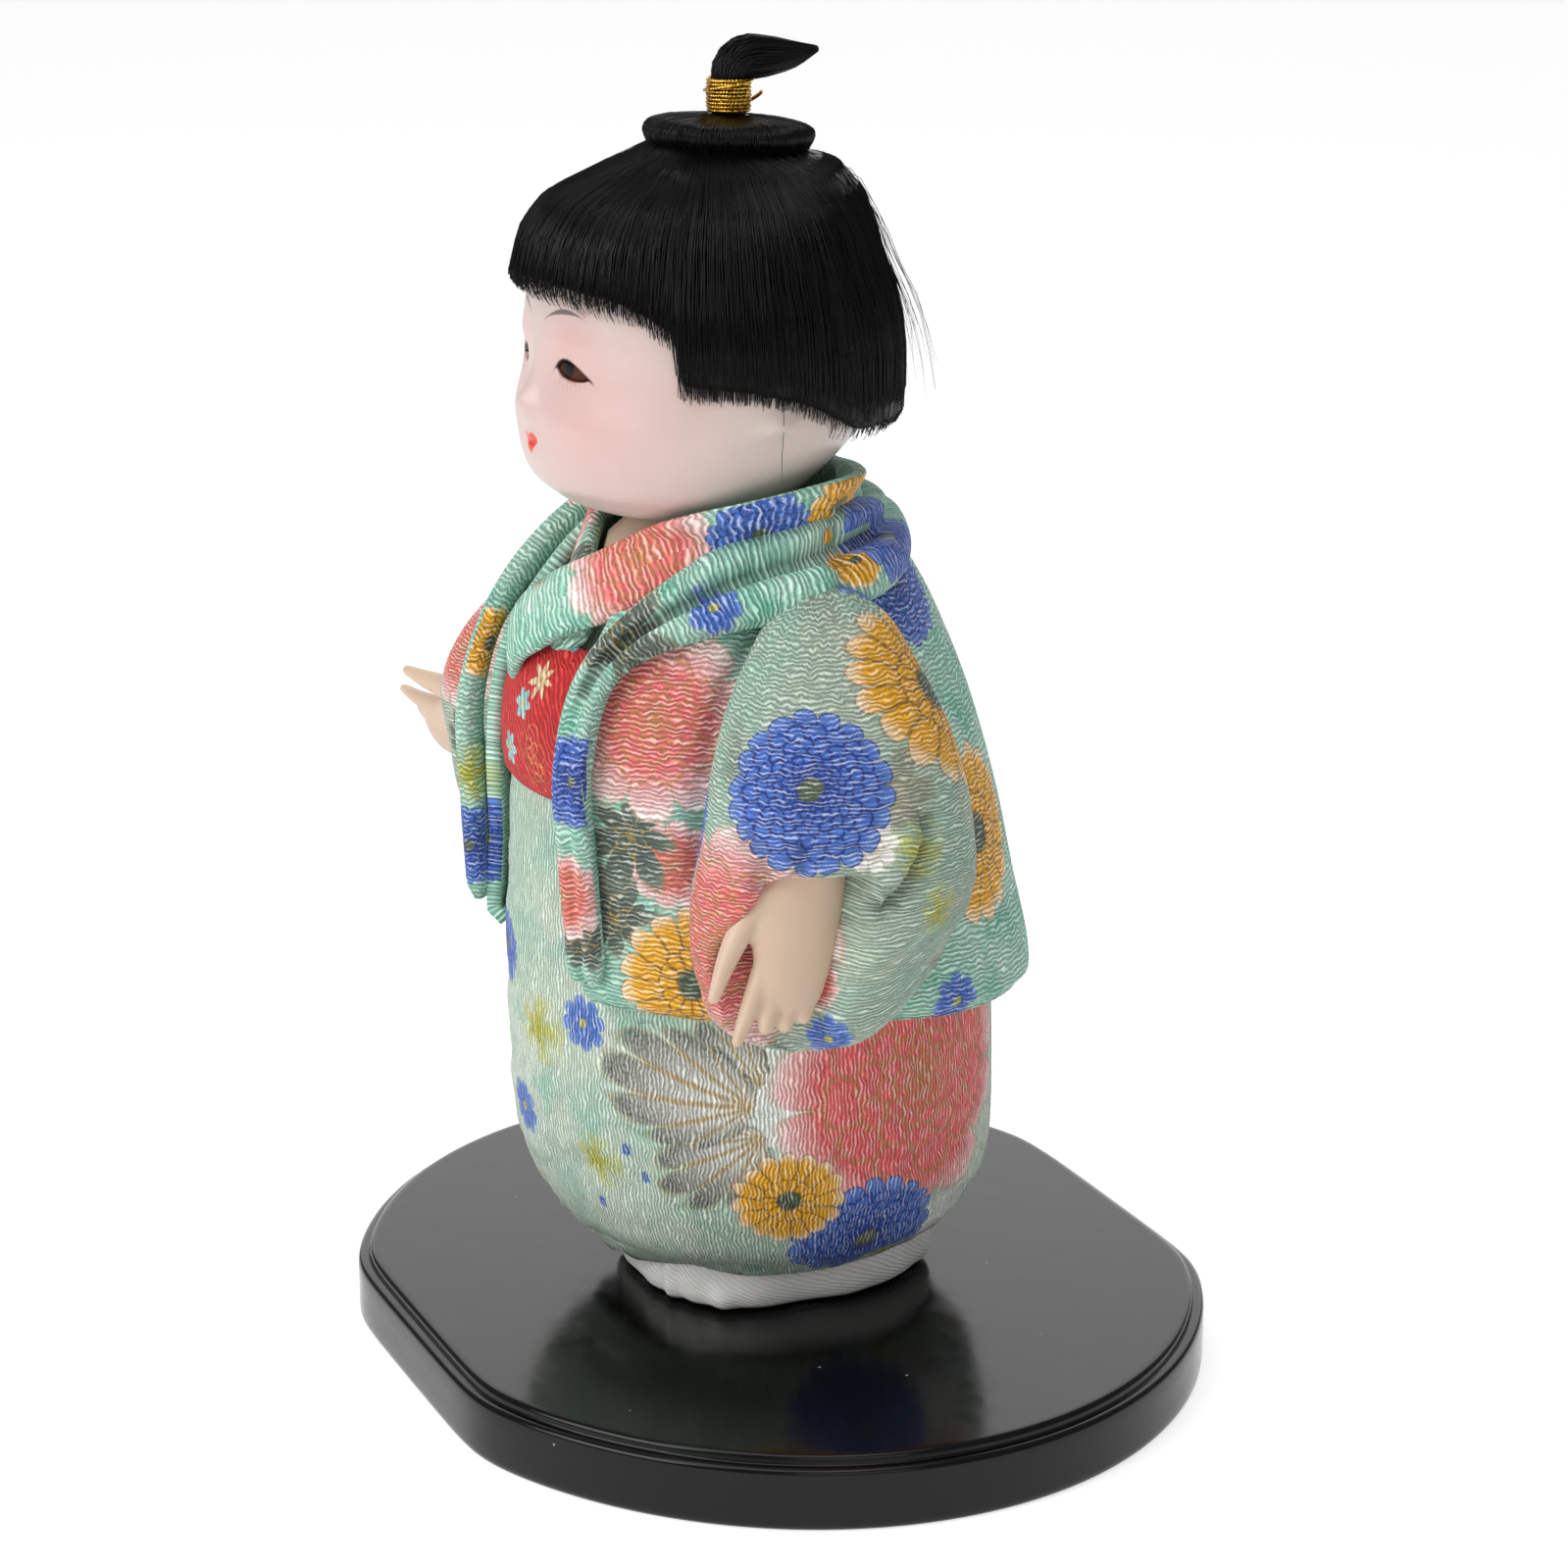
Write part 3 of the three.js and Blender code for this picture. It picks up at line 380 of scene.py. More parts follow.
def wadded(piece, pressure=0.5, cap=1.6, frames=14):
    """Rounds out a closed cloth piece by pressure, by cap mm at most."""
    start = points_of(piece)
    set_points(piece, start * SWELL_SCALE)
    cloth = piece.modifiers.new("wadding", "CLOTH")
    cloth.settings.use_pressure = True
    cloth.settings.uniform_pressure_force = pressure
    cloth.settings.effector_weights.gravity = 0
    cloth.settings.quality = 5
    cloth.settings.bending_stiffness = 0.5
    cloth.point_cache.frame_start = 1
    cloth.point_cache.frame_end = frames
    for number in range(1, frames + 1):
        scene.frame_set(number)
    graph = bpy.context.evaluated_depsgraph_get()
    swollen = read(piece.evaluated_get(graph).data.vertices, "co", 3)
    piece.modifiers.remove(cloth)
    scene.frame_set(1)
    move = swollen / SWELL_SCALE - start
    size = np.linalg.norm(move, axis=1)
    limit = np.minimum(1, cap * MM / np.maximum(size, 1e-9))
    set_points(piece, start + move * limit[:, None])
    print(piece.name, "swelled", round(float(size.max()) / MM, 2), "mm before the cap")


# %% [markdown]
# The print is drawn by hand and shows large chrysanthemums: blue ones with rows of scalloped
# petals, yellow ones with long white tipped petals, pink ones with a white rim, and grey leaves
# with gold veins. One formula draws all kinds, so a kind is only a row of numbers and colours.

# %% Kinds of bloom
# shape: petals round, rows, roundness; extent: heart radius, where tips start, edge softness;
# manner: lean to one side, ink of the lines, how pointed the petals are;
# then the colours of petal, tip, line and heart
BLOOMS = {
    "blue": ((19, 4.6, 0.32), (0.16, 0.8, 0.12), (0, 0.95, 0),
             "#4f78d2", "#7fa0e4", "#17348f", "#56654f"),
    "pink": ((10, 2.4, 0.28), (0.02, 0.5, 0.22), (0, 0.6, 0.1),
             "#f07873", "#fdf5f0", "#bd8f4c", "#e66a66"),
    "peony": ((11, 2.6, 0.25), (0.02, 0.7, 0.25), (0, 0.6, 0.1),
              "#f16a69", "#fdf5f0", "#b98a48", "#e85c5c"),
    "yellow": ((15, 1.3, 0.12), (0.22, 0.78, 0.1), (0, 0.85, 0.1),
               "#f2b014", "#fdf6e6", "#8f5f14", "#4d5a40"),
    "small": ((8, 1.6, 0.3), (0.2, 0.7, 0.15), (0, 0.8, 0),
              "#4a76cd", "#86a6e0", "#2446a0", "#a9ab5c"),
    "pale": ((9, 1.6, 0.25), (0.05, 0.5, 0.4), (0, 0.6, 0.1),
             "#f4f0e6", "#fdfcf8", "#b59a5c", "#e8e2cf"),
    "leaf": ((7, 0.9, 0.4), (0.01, 0.3, 0.2), (0.38, 0.75, 0.5),
             "#54635a", "#7f8c78", "#b39a55", "#5c6a5c"),
    "sage": ((7, 0.9, 0.35), (0.01, 0.2, 0.3), (0.34, 0.7, 0.4),
             "#a9ad98", "#868f7a", "#b39a55", "#a4a893"),
    "fan": ((20, 0.4, 0.05), (0.01, 0.05, 0.08), (2.2, 0.8, 0.0),
            "#f1efe6", "#24371d", "#b2924a", "#f4f1e8"),
    "lime": ((5, 0.6, 0.5), (0.01, 0.5, 1.2), (0.27, 0.5, 0.5),
             "#b9bb35", "#cccd7a", "#97962c", "#bcbd37"),
    "white": ((5, 0.8, 0.4), (0.01, 0.2, 2.2), (0.18, 0.1, 0),
              "#fbf9f4", "#fbf9f4", "#d8cba8", "#fbf9f4"),
    "maple": ((7, 0.8, 0.7), (0.01, 0.9, 0.1), (0.15, 0.7, 0.8),
              "#dcc49a", "#e6d3b0", "#b98d3c", "#dcc49a"),
    "curl": ((5, 1.6, 0.5), (0.2, 0.9, 0.1), (0.27, 0.95, 0.2),
             "#c2161c", "#c2161c", "#d3a24a", "#c2161c"),
    "frost": ((6, 1.1, 0.5), (0.2, 0.8, 0.1), (0, 0.7, 0.5),
              "#8fc7cb", "#b5dcdd", "#d9b25c", "#d9b25c"),
}
FIELDS = ("shape", "extent", "manner", "petal", "tip", "line", "heart")


def bloom_fields(kind):
    shape, extent, manner, *colours = BLOOMS[kind]
    return [shape, extent, manner] + [hex_colour(code)[:3] for code in colours]


def lean_of(kind):
    return BLOOMS[kind][2][0]


print("kinds of bloom:", *BLOOMS)

# %% [markdown]
# Every face of the cloth takes up to three motifs, one above the other, and every corner gets
# its place in each. UV maps hold the places and face attributes the kind, so the pattern stays
# on the cloth when a sleeve bends. A flat copy of the bloom is rolled on from its middle.

# %% Motifs on the cloth
REACH = 1.12  # how far past its petals a motif's faces go
LAYERS = ("under", "middle", "top")
NO_BLOOM = 9.0  # a place outside every bloom


def motif_frame(centres, normals, spot, turn):
    """The face nearest to a spot, with the motif's first, second and outward directions."""
    spot = centres[np.argmin(np.linalg.norm(centres - spot, axis=1))].astype(float)
    apart = np.linalg.norm(centres - spot, axis=1)
    out = normals[np.argsort(apart)[:12]].mean(0)
    out /= np.linalg.norm(out)
    up = np.array((0.0, 0.0, 1.0)) if abs(out[2]) < 0.9 else np.array((0.0, 1.0, 0.0))
    first = np.cross(up, out)
    first /= np.linalg.norm(first)
    second = np.cross(out, first)
    c, s = math.cos(math.radians(turn)), math.sin(math.radians(turn))
    return spot, c * first + s * second, c * second - s * first, out


def print_cloth(piece, motifs):
    """Writes the motifs over each face: (kind, x, y, z, radius, turn), the first on top."""
    mesh = piece.data
    count = len(mesh.polygons)
    centres = read(mesh.polygons, "center", 3) / MM
    normals = read(mesh.polygons, "normal", 3)
    corners = points_of(piece)[read(mesh.loops, "vertex_index", kind=np.int32)] / MM
    face_of = np.repeat(np.arange(count), read(mesh.polygons, "loop_total", kind=np.int32))
    rank = np.full((count, len(LAYERS)), -1)
    frames = []
    for i, (kind, x, y, z, radius, turn) in enumerate(motifs):
        spot, first, second, out = motif_frame(centres, normals, np.array((x, y, z), float), turn)
        frames.append((spot, first, second, radius))
        apart = np.linalg.norm(centres - spot, axis=1)
        lean = lean_of(kind) * ((centres - spot) @ first) / np.maximum(apart, 1e-6)
        near = apart < radius * REACH * np.exp(np.maximum(lean, -0.5))
        near &= normals @ out > -0.1
        for layer in range(len(LAYERS)):
            free = near & (rank[:, layer] < 0)
            rank[free, layer] = i
            near = near & ~free
    kinds = [bloom_fields(motif[0]) for motif in motifs]
    for chosen, label in zip(rank.T, LAYERS[::-1]):
        uv = np.full((len(corners), 2), NO_BLOOM)
        for i, (spot, first, second, radius) in enumerate(frames):
            mine = chosen[face_of] == i
            offset = corners[mine] - spot
            flat = np.c_[offset @ first, offset @ second]
            length = np.linalg.norm(flat, axis=1)
            stretch = np.linalg.norm(offset, axis=1) / np.maximum(length, 1e-6)
            uv[mine] = flat * np.minimum(stretch, 1.6)[:, None] / radius
        places = mesh.uv_layers.new(name="bloom_" + label)
        places.data.foreach_set("uv", uv.astype(np.float32).ravel())
        for f, field in enumerate(FIELDS):
            values = np.full((count, 3), (8, 1, 0.5) if field == "shape" else 0.1, np.float32)
            for i, kind in enumerate(kinds):
                values[chosen == i] = kind[f]
            attribute = mesh.attributes.new(f"{label}_{field}", "FLOAT_VECTOR", "FACE")
            attribute.data.foreach_set("vector", values.ravel())
    print(piece.name, "carries", len(motifs), "motifs")


# %% [markdown]
# The sides that no picture shows get the same kinds of motif. A seeded draw tries places there
# and keeps those that don't crowd the ones already found, so each run gives the same cloth.

# %% Scattered motifs
SCATTER_RADIUS = {"blue": 11, "pink": 14, "yellow": 10.5, "leaf": 8, "small": 5, "white": 9,
                  "lime": 5, "fan": 2.2, "maple": 4.5, "frost": 3.5, "curl": 4}


def reach_of(kind, radius):
    """How far a motif goes on the side to which it leans, in mm."""
    return radius * math.exp(lean_of(kind))


def scattered(piece, motifs, seed, tries=400, kinds="blue pink yellow leaf small white lime fan"):
    """The given motifs, and more on the sides that turn away from the camera."""
    draw = random.Random(seed)
    found = list(motifs)
    faces = piece.data.polygons
    for _ in range(tries):
        face = faces[draw.randrange(len(faces))]
        kind = draw.choice(kinds.split())
        radius = SCATTER_RADIUS[kind] * draw.uniform(0.85, 1.15)
        spot = face.center / MM
        if face.normal.dot(to_camera) > -0.3:
            continue
        apart = [(Vector(m[1:4]) - spot).length for m in found]
        reach = [reach_of(m[0], m[4]) + reach_of(kind, radius) for m in found]
        if any(a < 0.75 * r for a, r in zip(apart, reach)):
            continue
        found.append((kind, *spot, radius, draw.uniform(0, 360)))
    print(piece.name, len(found) - len(motifs), "motifs scattered")
    return found


# %% [markdown]
# A bloom is drawn in polar form: rows of petals grow with the radius, each row is shifted by
# half a petal, and a petal ends in an arc. A leaning bloom, such as a fan leaf, is longer on one
# side. It is a node group because three layers of four cloths use it.

# %% Bloom formula: petals
bloom = bpy.data.node_groups.new("printed_bloom", "ShaderNodeTree")
for name in ("Place",) + FIELDS:
    bloom.interface.new_socket(name, in_out="INPUT", socket_type="NodeSocketVector")
bloom.interface.new_socket("Colour", in_out="OUTPUT", socket_type="NodeSocketColor")
bloom.interface.new_socket("Mask", in_out="OUTPUT", socket_type="NodeSocketFloat")
n = functools.partial(add, bloom)
given = bloom.nodes.new("NodeGroupInput").outputs
petals, rows, roundness = [n("SeparateXYZ", given["shape"], out=i) for i in range(3)]
heart_radius, tips, soft = [n("SeparateXYZ", given["extent"], out=i) for i in range(3)]
leaning, inking, pointed = [n("SeparateXYZ", given["manner"], out=i) for i in range(3)]
shake = n("TexNoise", given["Place"], out=1, Scale=2.6, Detail=2.0)
shake = n("VectorMath:SUBTRACT", shake, (0.5, 0.5, 0.5))
place = n("VectorMath:MULTIPLY_ADD", shake, (0.16, 0.16, 0), given["Place"])
radius = n("VectorMath:LENGTH", n("VectorMath:MULTIPLY", place, (1, 1, 0)))
angle = n("Math:ARCTAN2", n("SeparateXYZ", place, out=1), n("SeparateXYZ", place))
lean = n("Math:MULTIPLY", n("Math:COSINE", angle), leaning)
radius = n("Math:DIVIDE", n("Math:MAXIMUM", radius, 0.001), n("Math:EXPONENT", lean))
ring = n("Math:MULTIPLY", n("Math:LOGARITHM", radius, math.e), rows)
row = n("Math:FLOOR", ring)
rise = n("Math:SUBTRACT", ring, row)
turns = n("Math:MULTIPLY", n("Math:MULTIPLY", angle, petals), 1 / FULL_TURN)
shift = n("Math:MULTIPLY", n("Math:PINGPONG", row, 1.0), 0.5)
side = n("Math:SUBTRACT", n("Math:FRACT", n("Math:ADD", turns, shift)), 0.5)
width = n("Math:MULTIPLY", n("Math:MULTIPLY", side, side), 4.0)
narrow = n("Math:MULTIPLY", n("Math:ABSOLUTE", side), 2.0)
flank = n("Mix", pointed, width, narrow)
arc = n("Math:POWER", n("Math:MAXIMUM", n("Math:SUBTRACT", 1.0, flank), 0.0), roundness)
inside = n("Math:SUBTRACT", n("Math:SUBTRACT", arc, 1.0), ring)
mask = n("Math:ADD", n("Math:DIVIDE", inside, soft), 0.5, use_clamp=True)
mask = n("Math:MULTIPLY", mask, n("MapRange", radius, 0.98, 1.09, 1.0, 0.0))
print("petals take", len(bloom.nodes), "nodes")

# %% [markdown]
# Dyed outlines follow the arcs and the sides of the petals. The colour runs from petal to tip,
# a little uneven as brushed dye is, and the heart is a speckled disc on top.

# %% Bloom formula: lines and colours
LINE = 0.022  # half width of a drawn line, as a share of the bloom's radius
away = n("Math:ABSOLUTE", n("Math:SUBTRACT", rise, arc))
away = n("Math:DIVIDE", n("Math:MULTIPLY", away, radius), rows)
tip_line = n("Math:SUBTRACT", 1.6, n("Math:DIVIDE", away, LINE), use_clamp=True)
edge = n("Math:SUBTRACT", 0.5, n("Math:ABSOLUTE", side))
edge = n("Math:DIVIDE", n("Math:MULTIPLY", edge, radius), petals)
edge = n("Math:MULTIPLY", edge, FULL_TURN / LINE)
side_line = n("Math:SUBTRACT", 1.3, edge, use_clamp=True)
side_line = n("Math:MULTIPLY", side_line, n("Math:LESS_THAN", rise, arc))
drawn = n("Math:MAXIMUM", tip_line, side_line)
fade = n("MapRange", radius, tips, 1.05, 0.0, 1.0)
mottle = n("TexNoise", place, Scale=5.0, Detail=3.0)
fade = n("Math:MULTIPLY", fade, n("Math:MULTIPLY_ADD", mottle, 1.2, 0.35), use_clamp=True)
colour = n("Mix:RGBA", fade, given["petal"], given["tip"])
shade = n("Math:MULTIPLY_ADD", rise, 0.16, n("Math:MULTIPLY_ADD", mottle, 0.3, 0.78))
colour = n("VectorMath:SCALE", colour, Scale=shade)
colour = n("Mix:RGBA", n("Math:MULTIPLY", drawn, inking), colour, given["line"])
core = n("Math:SUBTRACT", heart_radius, radius)
core_mask = n("Math:DIVIDE", core, 0.03, use_clamp=True)
core_line = n("Math:DIVIDE", n("Math:ABSOLUTE", core), LINE)
core_line = n("Math:SUBTRACT", 1.0, core_line, use_clamp=True)
speck = n("TexVoronoi", place, Scale=14.0)
heart = n("VectorMath:SCALE", given["heart"], Scale=n("Math:ADD", speck, 0.55))
colour = n("Mix:RGBA", core_mask, colour, heart)
colour = n("Mix:RGBA", n("Math:MULTIPLY", core_line, 0.7), colour, given["line"])
result = bloom.nodes.new("NodeGroupOutput").inputs
bloom.links.new(colour, result["Colour"])
bloom.links.new(mask, result["Mask"])
print("bloom formula", len(bloom.nodes), "nodes")

# %% [markdown]
# The cloth is chirimen, a silk-like crepe: twisted threads pull it into wavy ridges 0.7 to
# 0.9 mm apart. The ridges are a sine across the weave map, bent and broken by noise, and
# stronger than life so that they show in a picture. Their tops get a painted highlight of near
# white and their valleys painted shade, and pressed folds get more painted shade. The print
# lies on a watered ground of mint and sage.

# %% Chirimen crepe


def crepe(name, grounds, spacing, across, painted_shine=0.58):
    """Printed crepe. grounds are three colours, spacing the ridges' in mm, across their axis, painted_shine
    their tops' painted highlight.
    """
    # rayon crepe with a twisted weft: rough and ridged, with a soft sheen and painted highlights on the
    # ridges
    material, n, into = new_material(
        name, Roughness=0.68, IOR=1.5, Sheen_Weight=0.05, Sheen_Roughness=0.4)
    weave = n("UVMap", uv_map="weave")
    wash = n("TexNoise", weave, Scale=0.045, Detail=2.0)
    stain = n("TexNoise", weave, Scale=0.11, Detail=3.0)
    colour = n("Mix:RGBA", n("MapRange", wash, 0.4, 0.62), grounds[0], grounds[1])
    colour = n("Mix:RGBA", n("MapRange", stain, 0.52, 0.7), colour, grounds[2])
    for label in LAYERS:
        fields = [n("Attribute", attribute_name=f"{label}_{field}", out=1) for field in FIELDS]
        place = n("UVMap", uv_map="bloom_" + label)
        motif = n("Group", place, *fields, node_tree=bloom).node.outputs
        colour = n("Mix:RGBA", motif["Mask"], colour, motif["Colour"])
    over = n("VectorMath:DOT_PRODUCT", weave, across)
    along = n("VectorMath:DOT_PRODUCT", weave, (across[1], -across[0], 0))
    drift = n("TexNoise", weave, Scale=0.3, Detail=2.0)
    line = n("Math:MULTIPLY_ADD", drift, 2.8 * spacing, over)
    ridge = n("Math:SINE", n("Math:MULTIPLY", line, FULL_TURN / spacing))
    ridge = n("Math:MULTIPLY_ADD", ridge, 0.5, 0.5)
    row = n("CombineXYZ", n("Math:MULTIPLY", along, 0.4), n("Math:MULTIPLY", line, 0.8 / spacing))
    breaks = n("MapRange", n("TexNoise", row, Scale=1.0, Detail=1.0), 0.32, 0.62, 0.3, 1.0)
    twist = n("CombineXYZ", n("Math:MULTIPLY", along, 3.0), n("Math:MULTIPLY", over, 1.8))
    twist = n("TexNoise", twist, Scale=1.0, Detail=2.0, Roughness=0.7)
    bumps = n("Math:MULTIPLY", n("Math:MULTIPLY", ridge, breaks), 0.75)
    bumps = n("Math:MULTIPLY_ADD", twist, 0.55, bumps)
    # painted shade and highlight: the colour is darker in the ridges' valleys and lighter on their tops
    ridge_shade = n("MapRange", bumps, 0.2, 0.9, 0.45, 1.46)
    # painted shade: the colour is darker still in pressed folds
    fold = n("Attribute", attribute_name="fold", out=2)
    ridge_shade = n("Math:MULTIPLY", ridge_shade, n("Math:MULTIPLY_ADD", fold, -0.5, 1.0))
    colour = n("VectorMath:SCALE", colour, Scale=ridge_shade)
    # painted highlight: the ridge tops are mixed towards near white
    shine = n("MapRange", bumps, 0.66, 1.05, 0.0, painted_shine)
    colour = n("Mix:RGBA", shine, colour, "#fbfbf6")
    into(Base_Color=colour, Normal=n("Bump", Strength=1.0, Distance=0.0005, Height=bumps))
    return material


robe_cloth = crepe("chirimen_crepe_sage", ("#b8d2bd", "#d3e0cf", "#9fcab6"), 0.7, (1, 0, 0))
coat_cloth = crepe("chirimen_crepe_mint", ("#98d0b9", "#b4dcca", "#70bda4"), 0.88, (0, 1, 0))
sleeve_cloth = crepe(
    "chirimen_crepe_pale_sage", ("#adc0ad", "#9fc5b0", "#bcc8b2"), 0.85, (0, 1, 0))

# %% [markdown]
# The robe is a wadded tube that hangs from the obi and curls in at the sole. Its left front lies
# over the right one, so a low edge runs down beside the middle. A grid round an oval table keeps
# the weave straight, and pressure rounds it out.

# %% Kimono robe
robe_form = outline([
    [7.5, 24.8, -29.3, 27.3], [11.5, 33, -36, 32], [19, 38.2, -41, 34.5], [33, 41, -43.3, 35.5],
    [53, 41.5, -44, 35], [78, 39.5, -43.5, 31], [93, 36.5, -42.5, 26.5], [108, 32, -40, 20.5],
    [115, 28.5, -36.5, 17.5], [121, 24.5, -31.5, 14.5], [127, 20, -28, 9.5],
])
ROBE_STEPS = 92
# height and growth: the curl under the hem, the wall, and the edge at the neck
robe_profile = [(13, -3.4), (10.5, -3.2), (8.6, -2.4), (7.6, -1.2)]
robe_profile += [(7.5 + 118.9 * (i / ROBE_STEPS) ** 1.12, 0.0) for i in range(ROBE_STEPS + 1)]
robe_profile += [(127.0, -1.5), (127.1, -5.0)]


def robe_place(u, v):
    h, grow = robe_profile[round(v * (len(robe_profile) - 1))]
    turn = from_back(u)
    x, y = oval_point(robe_form(h), turn, grow)
    edge = -15 + 0.1 * (h - 8)
    lap = ease(-0.9, 0.2, x - edge) * (1 - ease(4, 26, x - edge)) if y < -15 else 0
    swell = lap * 1.1 + 0.5 * noise.noise(Vector((x, y, h)) * 0.045)
    return *oval_point(robe_form(h), turn, grow + swell), h


robe = skin("kimono_robe_cloth", 170, len(robe_profile) - 1, robe_place, 250, 125)
wadded(robe, 0.4)
robe_motifs = [
    ("yellow", 38.1, -15.0, 38.6, 9.4, 20), ("blue", 36.5, -0.2, 28.5, 13.2, 0),
    ("fan", 37.0, -21.1, 55.7, 3.0, 170), ("fan", 37.6, -19.7, 50.3, 2.3, 216),
    ("fan", 37.9, -19.6, 60.4, 1.6, 136), ("peony", 40.0, 7.0, 57.5, 26.5, 40),
    ("small", 15.3, -40.9, 65.5, 4.8, 10), ("lime", 15.6, -39.6, 41.5, 5.0, 0),
    ("small", 22.2, -36.7, 45.5, 1.2, 0), ("small", 24.4, -34.9, 41.1, 1.2, 0),
    ("small", 14.9, -38.1, 33.7, 1.2, 0), ("white", 39.0, -13.0, 55.0, 17.0, 0),
    ("lime", 3.0, -43.8, 62.0, 6.0, 0), ("blue", -8.1, -42.8, 72.5, 6.5, 0),
    ("small", -3.0, -43.5, 45.0, 5.0, 30), ("lime", -17.0, -38.0, 27.0, 6.0, 0),
    ("white", 34.5, 16.0, 24.0, 9.0, 0),
]
print_cloth(robe, scattered(robe, robe_motifs, 11))
dressed(robe, "stand", "green_crepe", robe_cloth, "kimono_robe")

# %% [markdown]
# The coat, a haori, is an open wadded shell: it starts at one front edge, goes round the back
# and ends at the other front edge. A sheet of grid is laid there, given thickness, and puffed.
# Its hem is lower behind. Creases mark the shoulder and the seams of the sleeves.

# %% Haori coat
coat_form = outline([
    [40, 45.5, -46.5, 43.5], [60, 45, -47.3, 41], [78, 44, -48.3, 37.8], [93, 42.3, -48.8, 34],
    [103, 40, -47.8, 31], [113, 36.8, -44.5, 27], [121, 33.2, -39, 22.8], [128, 28.8, -32.5, 18],
    [132, 24, -28, 15], [135, 18.5, -25, 13],
])
opening_form = outline([[40, 21.5], [90, 19.5], [113, 17], [129, 14.5], [140, 15]])
COAT_TOP = 132.8


def coat_place(u, v):
    """A point of the coat. The hem depends on the place, so three rounds settle the height."""
    h = 58.0
    for _ in range(3):
        half = coat_form(h)[0]
        open_turn = math.acos(min(opening_form(h)[0] / half, 1))
        turn = -open_turn + u * (math.pi + 2 * open_turn)
        x, y = oval_point(coat_form(h), turn)
        hem = 57.2 - (0.05 if y < 0 else 0.12) * y
        h = hem + (COAT_TOP - hem) * v
    roll = -1.6 * (1 - ease(0, 0.03, v)) + 0.7 * ease(0, 0.04, v) * (1 - ease(0.06, 0.25, v))
    wave = 0.5 * noise.noise(Vector((x, y, h)) * 0.05 + Vector((3, 1, 7)))
    return *oval_point(coat_form(h), turn, roll + wave - 0.3), h


def mirrored(points):
    return [(-x, y, h) for x, y, h in points]


coat = skin("haori_coat_cloth", 150, 70, coat_place, 240, 82, fill=False)
wall = coat.modifiers.new("wall", "SOLIDIFY")
wall.thickness = 2.4 * MM
wall.offset = -1
made_real(coat)
wadded(coat, 0.3)
sleeve_seam = [(33, -15, 136), (33, -19.5, 130.6), (34.5, -24, 124.3), (36, -27.6, 115.7),
               (37, -29.4, 106.7), (37.5, -30, 94)]
crease(coat, [(26.7, -2.2, 142.5), (33, -4.5, 141.5), (38, -6.5, 139.5)], 1.8, 1.5)
for seam in (sleeve_seam, mirrored(sleeve_seam)):
    crease(coat, seam, 2.2, 2.2)
coat_motifs = [
    ("pink", 29.0, -33.4, 119.0, 15.8, 90), ("yellow", 36.0, -30.4, 77.3, 12.6, 0),
    ("leaf", 29.1, -36.8, 101.5, 8.0, 250), ("pink", 33.9, -32.3, 96.5, 7.5, 10),
    ("leaf", 27.0, -40.5, 86.0, 8.5, 120), ("yellow", 34.2, 20.8, 95.6, 14.8, 80),
    ("blue", 26.0, 9.5, 137.5, 12.0, 0), ("small", 42.0, 12.0, 71.0, 5.0, 0),
    ("yellow", 33.0, 3.0, 137.0, 5.0, 0), ("blue", -21.0, -44.0, 87.0, 8.0, 0),
    ("lime", -24.0, -41.5, 98.0, 5.0, 0), ("white", 30.0, -33.0, 135.0, 6.0, 0),
    ("white", 36.0, 18.0, 80.0, 8.0, 0),
]
print_cloth(coat, scattered(coat, coat_motifs, 23))
dressed(coat, "stand", "green_crepe", coat_cloth, "haori_body")

# %% [markdown]
# The head turns above the collars, so they must stay clear of it at every angle. Its oval table
# comes first, and a rule moves any point out of the space that the head sweeps. That is surer
# than shaping each collar by hand.

# %% Room for the turning head
NECK_Y = -12.0  # the head turns about this line
HEAD_TURNS = (-25, -12, 0, 12, 25)
CHIN, SCALP = 133, 188  # lowest and highest level of the head
head_form = outline([
    [CHIN, 11, -25, -6], [135, 18.5, -33, -3], [138, 24, -37.8, 1], [143, 28.4, -41, 7],
    [149, 30.8, -42.6, 12.8], [153, 31.1, -42.75, 16], [156, 31.3, -42.8, 17.7],
    [159, 31.2, -42.8, 17.9], [164, 30.9, -42.8, 17.4], [172, 28.9, -41, 15.5],
    [180, 23.4, -35.5, 10.5], [185.5, 15, -27, 3.6], [SCALP, 7, -18.5, -4.5],
])


def clear_of_head(x, y, h, room):
    """Pushes a point out of the space that the turning head sweeps, with room in mm."""
    if h < CHIN - room:
        return x, y, h
    half, front, back = head_form(max(h + room, CHIN))
    depth, shift = (back - front) / 2, NECK_Y - (front + back) / 2
    far, around = math.hypot(x, y - NECK_Y), math.atan2(y - NECK_Y, x)
    reach = 0
    for turn in np.radians(HEAD_TURNS):
        c, s = math.cos(around + turn), math.sin(around + turn)
        a, b = (c / half) ** 2 + (s / depth) ** 2, shift * s / depth ** 2
        reach = max(reach, (math.sqrt(b * b + a * (1 - (shift / depth) ** 2)) - b) / a + room)
    k = max(reach / max(far, 1e-6), 1)
    return x * k, NECK_Y + (y - NECK_Y) * k, h


print("cheek line is pushed out to", clear_of_head(20, NECK_Y, 150, 0.9))

# %% [markdown]
# Both collars are long flat rolls of wadded cloth. A section is carried along a smooth run, flat
# side away from the neck, as a ribbon is laid. The coat's band is folded over, so a groove runs
# along it. It lies broad on the shoulders and stands narrow down the front.

# %% Collar and band


def run_of(points):
    """A smooth run through points, as a function of the share of its length."""
    points = np.array(points, float)
    lengths = np.r_[0, np.cumsum(np.linalg.norm(np.diff(points, axis=0), axis=1))]
    curve = outline(np.c_[lengths / lengths[-1], points])
    return lambda share: Vector(curve(share))


